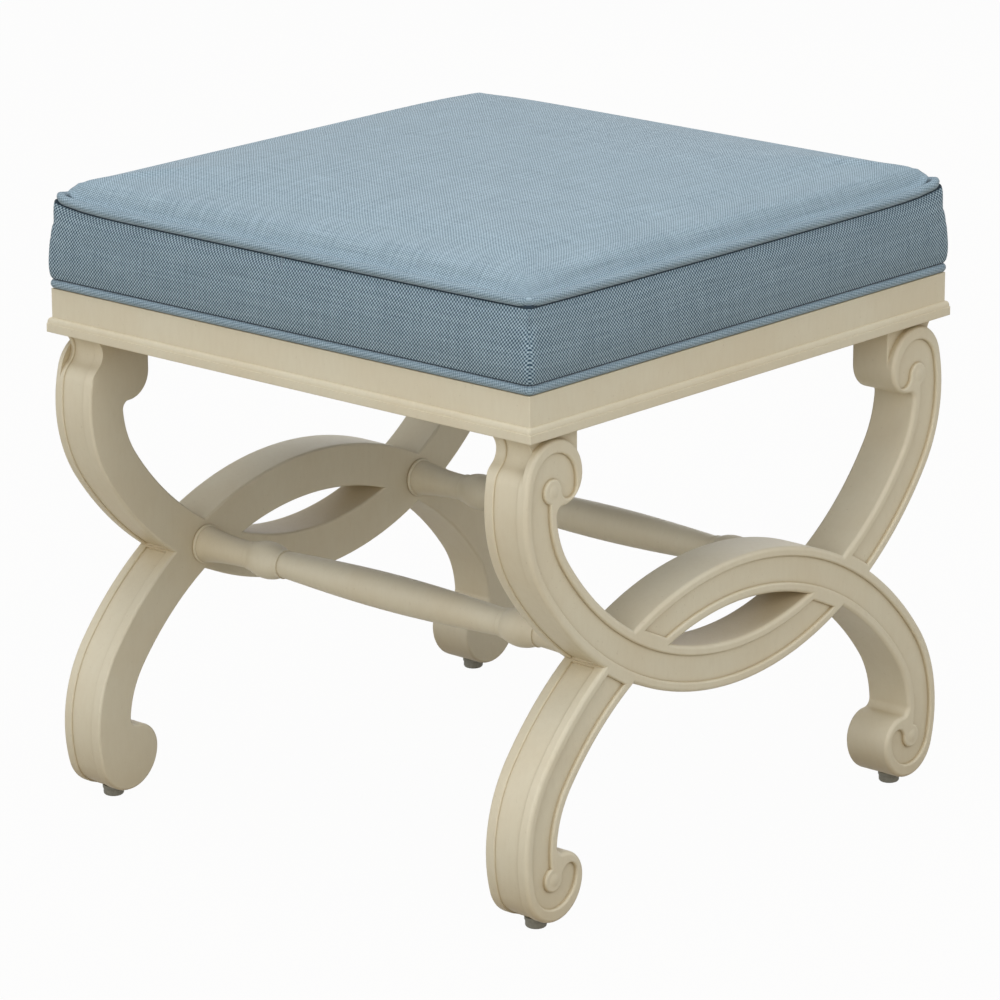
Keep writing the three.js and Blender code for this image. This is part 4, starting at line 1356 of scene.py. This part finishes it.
def map_cloth(piece, place, depth):
    """Gives a piece its own map for the cloth, and marks how much painted shade each point gets at a seam.
    """
    layer = piece.data.uv_layers.new(name="cloth")
    for loop in piece.data.loops:
        layer.data[loop.index].uv = place(piece.data.vertices[loop.vertex_index].co)
    marks = piece.data.attributes.new("seam", "FLOAT", "POINT")
    for vertex, mark in zip(piece.data.vertices, marks.data):
        mark.value = clamped(depth(vertex.co))


def padded_block():
    """The cushion before it is stuffed: a block with a low crown, a little smaller than the real one."""
    foot = BOXING_FOOT - TUCK
    height = BOXING_HEAD - foot
    first = BULGE[0][0] * height
    bpy.ops.mesh.primitive_cube_add(
        size=1, location=(0, 0, foot + first / 2), scale=(2 * FOOT_HALF, 2 * FOOT_HALF, first)
    )
    block = bpy.context.object
    block.name = "padding"
    bpy.ops.object.transform_apply()

    def upright(edge):
        return abs(edge.verts[0].co.z - edge.verts[1].co.z) > first / 2

    bevel(block, upright, CUSHION_CORNER, 4)
    bpy.ops.object.mode_set(mode="EDIT")
    choose_faces(lambda face: face.normal.z > SQUARE)
    rings = [
        (FOOT_HALF + (HEAD_HALF - FOOT_HALF) * share + reach, foot + height * share)
        for share, reach in BULGE
    ]
    rings += [(HEAD_HALF, BOXING_HEAD), (COVER_HALF, TOP_WELT_Z)]
    for inset in CROWN_INSETS:
        slack = CROWN_SLACK * min(1.0, inset / CROWN_SLACK_REACH)
        rings.append((COVER_HALF - inset, TOP_WELT_Z + crown_height(inset) - slack))
    half, level = FOOT_HALF, foot + first
    for at, top in rings:
        extrude((0, 0, top - level))
        bpy.ops.transform.resize(value=(at / half, at / half, 1), center_override=(0, 0, top))
        half, level = at, top
    leave()
    return block


def swell(block):
    """Stuffs the cushion: the cloth swells under pressure between its seams, up to a limit."""
    frames = bpy.context.scene.stool_finish.sim_frames
    cushion_swell = bpy.context.scene.stool_sizes.cushion_swell
    points = block.data.vertices
    start = [point.co.copy() for point in points]

    def held(co):
        out = max(abs(co.x), abs(co.y))
        at_foot = co.z < BOXING_FOOT + HELD_BAND
        at_head = BOXING_HEAD - HELD_BAND < co.z < TOP_WELT_Z + HELD_BAND
        return at_foot or at_head and out > COVER_HALF - HELD_BAND

    group = block.vertex_groups.new(name="seams")
    group.add([point.index for point in points if held(point.co)], 1.0, "REPLACE")
    cloth = block.modifiers.new("Padding", "CLOTH")
    for key, value in CLOTH_SETTINGS.items():
        setattr(cloth.settings, key, value)
    cloth.settings.effector_weights.gravity = 0
    cloth.collision_settings.use_collision = False
    cloth.point_cache.frame_start = 1
    cloth.point_cache.frame_end = frames
    for step in range(1, frames + 1):
        bpy.context.scene.frame_set(step)
    apply(block, cloth)
    bpy.context.scene.frame_set(1)
    for point, old in zip(block.data.vertices, start):
        move = point.co - old
        most = cushion_swell if old.z > TOP_WELT_Z else SIDE_SWELL
        if move.length > most:
            point.co = old + move.normalized() * most
    block.vertex_groups.clear()


class STOOL_OT_cushion(bpy.types.Operator):
    """Stuffs the cushion and cuts it into its top cover and four boxing panels"""

    bl_idname = "stool.cushion"
    bl_label = "Cushion"

    def execute(self, context):
        block = padded_block()
        add_modifier(block, "REMESH", mode="VOXEL", voxel_size=VOXEL)
        swell(block)
        add_modifier(block, "SMOOTH", factor=0.5, iterations=3)
        add_modifier(block, "SUBSURF", levels=1, render_levels=1)
        self.boxing(block)
        self.cover(block)
        bpy.data.objects.remove(block)
        return {"FINISHED"}

    def cover(self, block):
        top = copy_of(block, "crowned_top_cover", Matrix.Identity(4))
        keep_part(top, [((0, 0, TOP_WELT_Z - COVER_TUCK), (0, 0, -1))], True)

        # Painted shade: a thin dark line along the cover's edge, where it is sewn to the welt.
        def depth(co):
            return (max(abs(co.x), abs(co.y)) - COVER_HALF + COVER_SEAM_SHADE / 2) / COVER_SEAM_SHADE

        map_cloth(top, laid_flat, depth)
        for point in top.data.vertices:
            point.co.z += ear(point.co) - corner_drop(point.co) + corner_fill(point.co)
        only(top)
        bpy.ops.object.shade_smooth()
        finish_piece(top, "top_cloth", "top_cover", "seat_foam")

    def boxing(self, block):
        planes = [
            ((0, 0, BOXING_HEAD + HEAD_TUCK), (0, 0, 1)),
            ((0, 0, BOXING_FOOT - FOOT_TUCK), (0, 0, -1)),
            ((0, 0, 0), (1, 1, 0)),
            ((0, 0, 0), (-1, 1, 0)),
            ((0, -COVER_HALF + BOXING_TURNING, 0), (0, 1, 0)),
        ]
        for turn, side in enumerate(SIDES):
            back = Matrix.Rotation(-math.pi / 2 * turn, 4, "Z")
            panel = copy_of(block, f"{side}_boxing_panel", back)
            keep_part(panel, planes, False)
            for point in panel.data.vertices:
                apart = from_corner(point.co)
                most = CORNER_REACH * (0.5 + up_boxing(point.co) ** 4)
                filled = most * math.exp(-((apart / CORNER_WIDTH) ** 2))
                tucked = SEAM_TUCK * math.exp(-((apart / SEAM_TUCK_WIDTH) ** 2))
                outward = Vector((math.copysign(1, point.co.x), math.copysign(1, point.co.y), 0))
                point.co += outward * (filled - tucked)

            def place(co):
                round_corner = max(0.0, HEAD_HALF - abs(co.y))
                along = co.x + math.copysign(round_corner, co.x)
                return (along if turn % 2 == 0 else -along, co.z)

            # Painted shade: the boxing darkens at its vertical corner seams.
            def depth(co):
                return SEAM_SHADE * (1 - from_corner(co) / SEAM_SHADE_WIDTH)

            map_cloth(panel, place, depth)
            add_modifier(panel, "SOLIDIFY", thickness=CLOTH_THICKNESS, offset=-1.0)
            settle(panel, back.inverted())
            for point in panel.data.vertices:
                point.co.z += ear(point.co) * clamped(up_boxing(point.co))
            only(panel)
            bpy.ops.object.shade_smooth_by_angle(angle=BOXING_SMOOTH_ANGLE)
            finish_piece(panel, "boxing_cloth", f"{side}_boxing")


class STOOL_OT_welts(bpy.types.Operator):
    """Sews the two welts, each a cord in bias cloth"""

    bl_idname = "stool.welts"
    bl_label = "Welts"

    def execute(self, context):
        top = (TOP_WELT_HALF, TOP_WELT_Z, TOP_WELT_RADIUS, TOP_WELT_CORNER)
        bottom = (BOTTOM_WELT_HALF, BOTTOM_WELT_Z, BOTTOM_WELT_RADIUS, BOTTOM_WELT_CORNER)
        self.welt("top", "top_cloth", *top)
        self.welt("bottom", "boxing_cloth", *bottom)
        return {"FINISHED"}

    def welt(self, name, slot, half, level, radius, corner):
        straight = half - corner
        start, upright = (-straight, -half, level), (0, math.pi / 2, 0)
        bpy.ops.mesh.primitive_circle_add(
            vertices=WELT_ROUND, radius=radius, location=start, rotation=upright
        )
        piece = bpy.context.object
        piece.name = f"{name}_welt_cord"
        bpy.ops.object.transform_apply()
        edit_points(piece)
        for turn in range(4):
            heading = Matrix.Rotation(math.pi / 2 * turn, 4, "Z")
            step = heading @ Vector((2 * straight / WELT_STEPS, 0, 0))
            for _ in range(WELT_STEPS):
                extrude(step)
            centre = heading @ Vector((straight, -straight, level))
            bpy.ops.mesh.spin(
                steps=WELT_CORNER_STEPS, angle=math.pi / 2, center=centre, axis=(0, 0, -1)
            )
        face_outwards()
        leave()

        def place(co):
            out, along = (co.y, co.x) if abs(co.y) > abs(co.x) else (co.x, co.y)
            around = math.atan2(co.z - level, abs(out) - half)
            return (along, around * radius)

        map_cloth(piece, place, lambda co: 0.0)
        if name == "top":
            for point in piece.data.vertices:
                point.co.z += ear(point.co)
        only(piece)
        bpy.ops.object.shade_smooth()
        finish_piece(piece, slot, f"{name}_welt", looks="welt_cloth")


class STOOL_OT_fittings(bpy.types.Operator):
    """Finishes the hidden wood, steel and cloth that stay as they are"""

    bl_idname = "stool.fittings"
    bl_label = "Fittings"

    def execute(self, context):
        record = frame["record"]
        slots = {part["node"]: part["material_slot"] for part in record["subparts"]}
        names = {"foam": "top_cloth"}
        for node, obj in frame["nodes"].items():
            made = material(names.get(slots[node], slots[node]))
            obj.data.materials.clear()
            obj.data.materials.append(made)
        return {"FINISHED"}


class STOOL_OT_stage(bpy.types.Operator):
    """Sets the floor, the soft light and the camera"""

    bl_idname = "stool.stage"
    bl_label = "Stage"

    def execute(self, context):
        self.floor()
        self.world()
        self.lamps()
        self.camera()
        context.scene.view_settings.view_transform = "Standard"
        return {"FINISHED"}

    def floor(self):
        bpy.ops.mesh.primitive_plane_add(size=60)
        floor = bpy.context.object
        floor.name = "floor"
        made = Nodes(bpy.data.materials.new("pale_floor"))
        soft = made.noise(made.place(), 0.8, 2.0, 0.5)
        colour = made.mix(soft, rgba((0.34, 0.29, 0.205)), rgba((0.38, 0.33, 0.24)))
        made.shader(colour, 0.9)
        lit = made.output.inputs["Surface"].links[0].from_socket
        made.show_white(lit, "ShaderNodeEmission", 0.97)
        floor.data.materials.append(made.owner)

    def world(self):
        made = Nodes(bpy.data.worlds.new("studio"), "ShaderNodeOutputWorld")
        lit = made.add("ShaderNodeBackground", {"Color": (1.0, 0.98, 0.94, 1.0), "Strength": 0.23})
        made.show_white(lit, "ShaderNodeBackground")
        bpy.context.scene.world = made.owner

    def lamps(self):
        aim = Vector((0, 0, 0.25))
        for name, place, size, energy in (
            ("overhead", (-0.3, 0.0, 3.2), 2.2, 41.0),
            ("key", (-2.9, -0.9, 1.3), 2.0, 29.0),
            ("side", (-2.0, 2.1, 0.9), 1.6, 9.0),
            ("front", (-0.8, -2.8, 1.8), 1.8, 26.0),
            ("right", (2.5, -2.2, 0.9), 1.6, 6.0),
            ("back", (2.4, 1.6, 1.0), 1.4, 8.0),
        ):
            light = bpy.data.lights.new(name, "AREA")
            light.energy = energy
            light.size = size
            lamp = bpy.data.objects.new(name, light)
            lamp.location = place
            lamp.rotation_euler = (aim - Vector(place)).to_track_quat("-Z", "Y").to_euler()
            bpy.context.scene.collection.objects.link(lamp)

    def camera(self):
        azimuth, elevation, roll = math.radians(-48.366), math.radians(16.346), math.radians(-0.229)
        distance, target = 3.96293, Vector((-0.00395, -0.00214, 0.23441))
        level = math.cos(elevation)
        back = Vector((math.sin(azimuth) * level, -math.cos(azimuth) * level, math.sin(elevation)))
        data = bpy.data.cameras.new("camera")
        data.lens = 186.24
        data.sensor_width = 36
        data.clip_start = 0.1
        camera = bpy.data.objects.new("camera", data)
        camera.location = target + back * distance
        turn = (-back).to_track_quat("-Z", "Y").to_matrix() @ Matrix.Rotation(roll, 3, "Z")
        camera.rotation_euler = turn.to_euler()
        bpy.context.scene.collection.objects.link(camera)
        bpy.context.scene.camera = camera


class STOOL_PT_panel(bpy.types.Panel):
    """Lists the stool's pieces and their sizes"""

    bl_idname = "STOOL_PT_panel"
    bl_label = "Vanity stool"
    bl_space_type = "VIEW_3D"
    bl_region_type = "UI"
    bl_category = "Stool"

    def draw(self, context):
        for operator in OPERATORS:
            self.layout.operator(operator.bl_idname)
        for group in (context.scene.stool_sizes, context.scene.stool_finish):
            for name in group.__annotations__:
                self.layout.prop(group, name)


OPERATORS = (
    STOOL_OT_stage,
    STOOL_OT_fittings,
    STOOL_OT_frames,
    STOOL_OT_stretchers,
    STOOL_OT_glides,
    STOOL_OT_apron,
    STOOL_OT_cushion,
    STOOL_OT_welts,
)
CLASSES = (StoolSizes, StoolFinish, *OPERATORS, STOOL_PT_panel)


def register():
    for made in CLASSES:
        bpy.utils.register_class(made)
    bpy.types.Scene.stool_sizes = PointerProperty(type=StoolSizes)
    bpy.types.Scene.stool_finish = PointerProperty(type=StoolFinish)


def unregister():
    del bpy.types.Scene.stool_finish
    del bpy.types.Scene.stool_sizes
    for made in reversed(CLASSES):
        bpy.utils.unregister_class(made)


def main():
    register()
    bpy.ops.stool.stage()
    bpy.ops.stool.fittings()
    bpy.ops.stool.frames()
    bpy.ops.stool.stretchers()
    bpy.ops.stool.glides()
    bpy.ops.stool.apron()
    bpy.ops.stool.cushion()
    bpy.ops.stool.welts()
    bpy.context.view_layer.update()


if __name__ == "__main__":
    main()
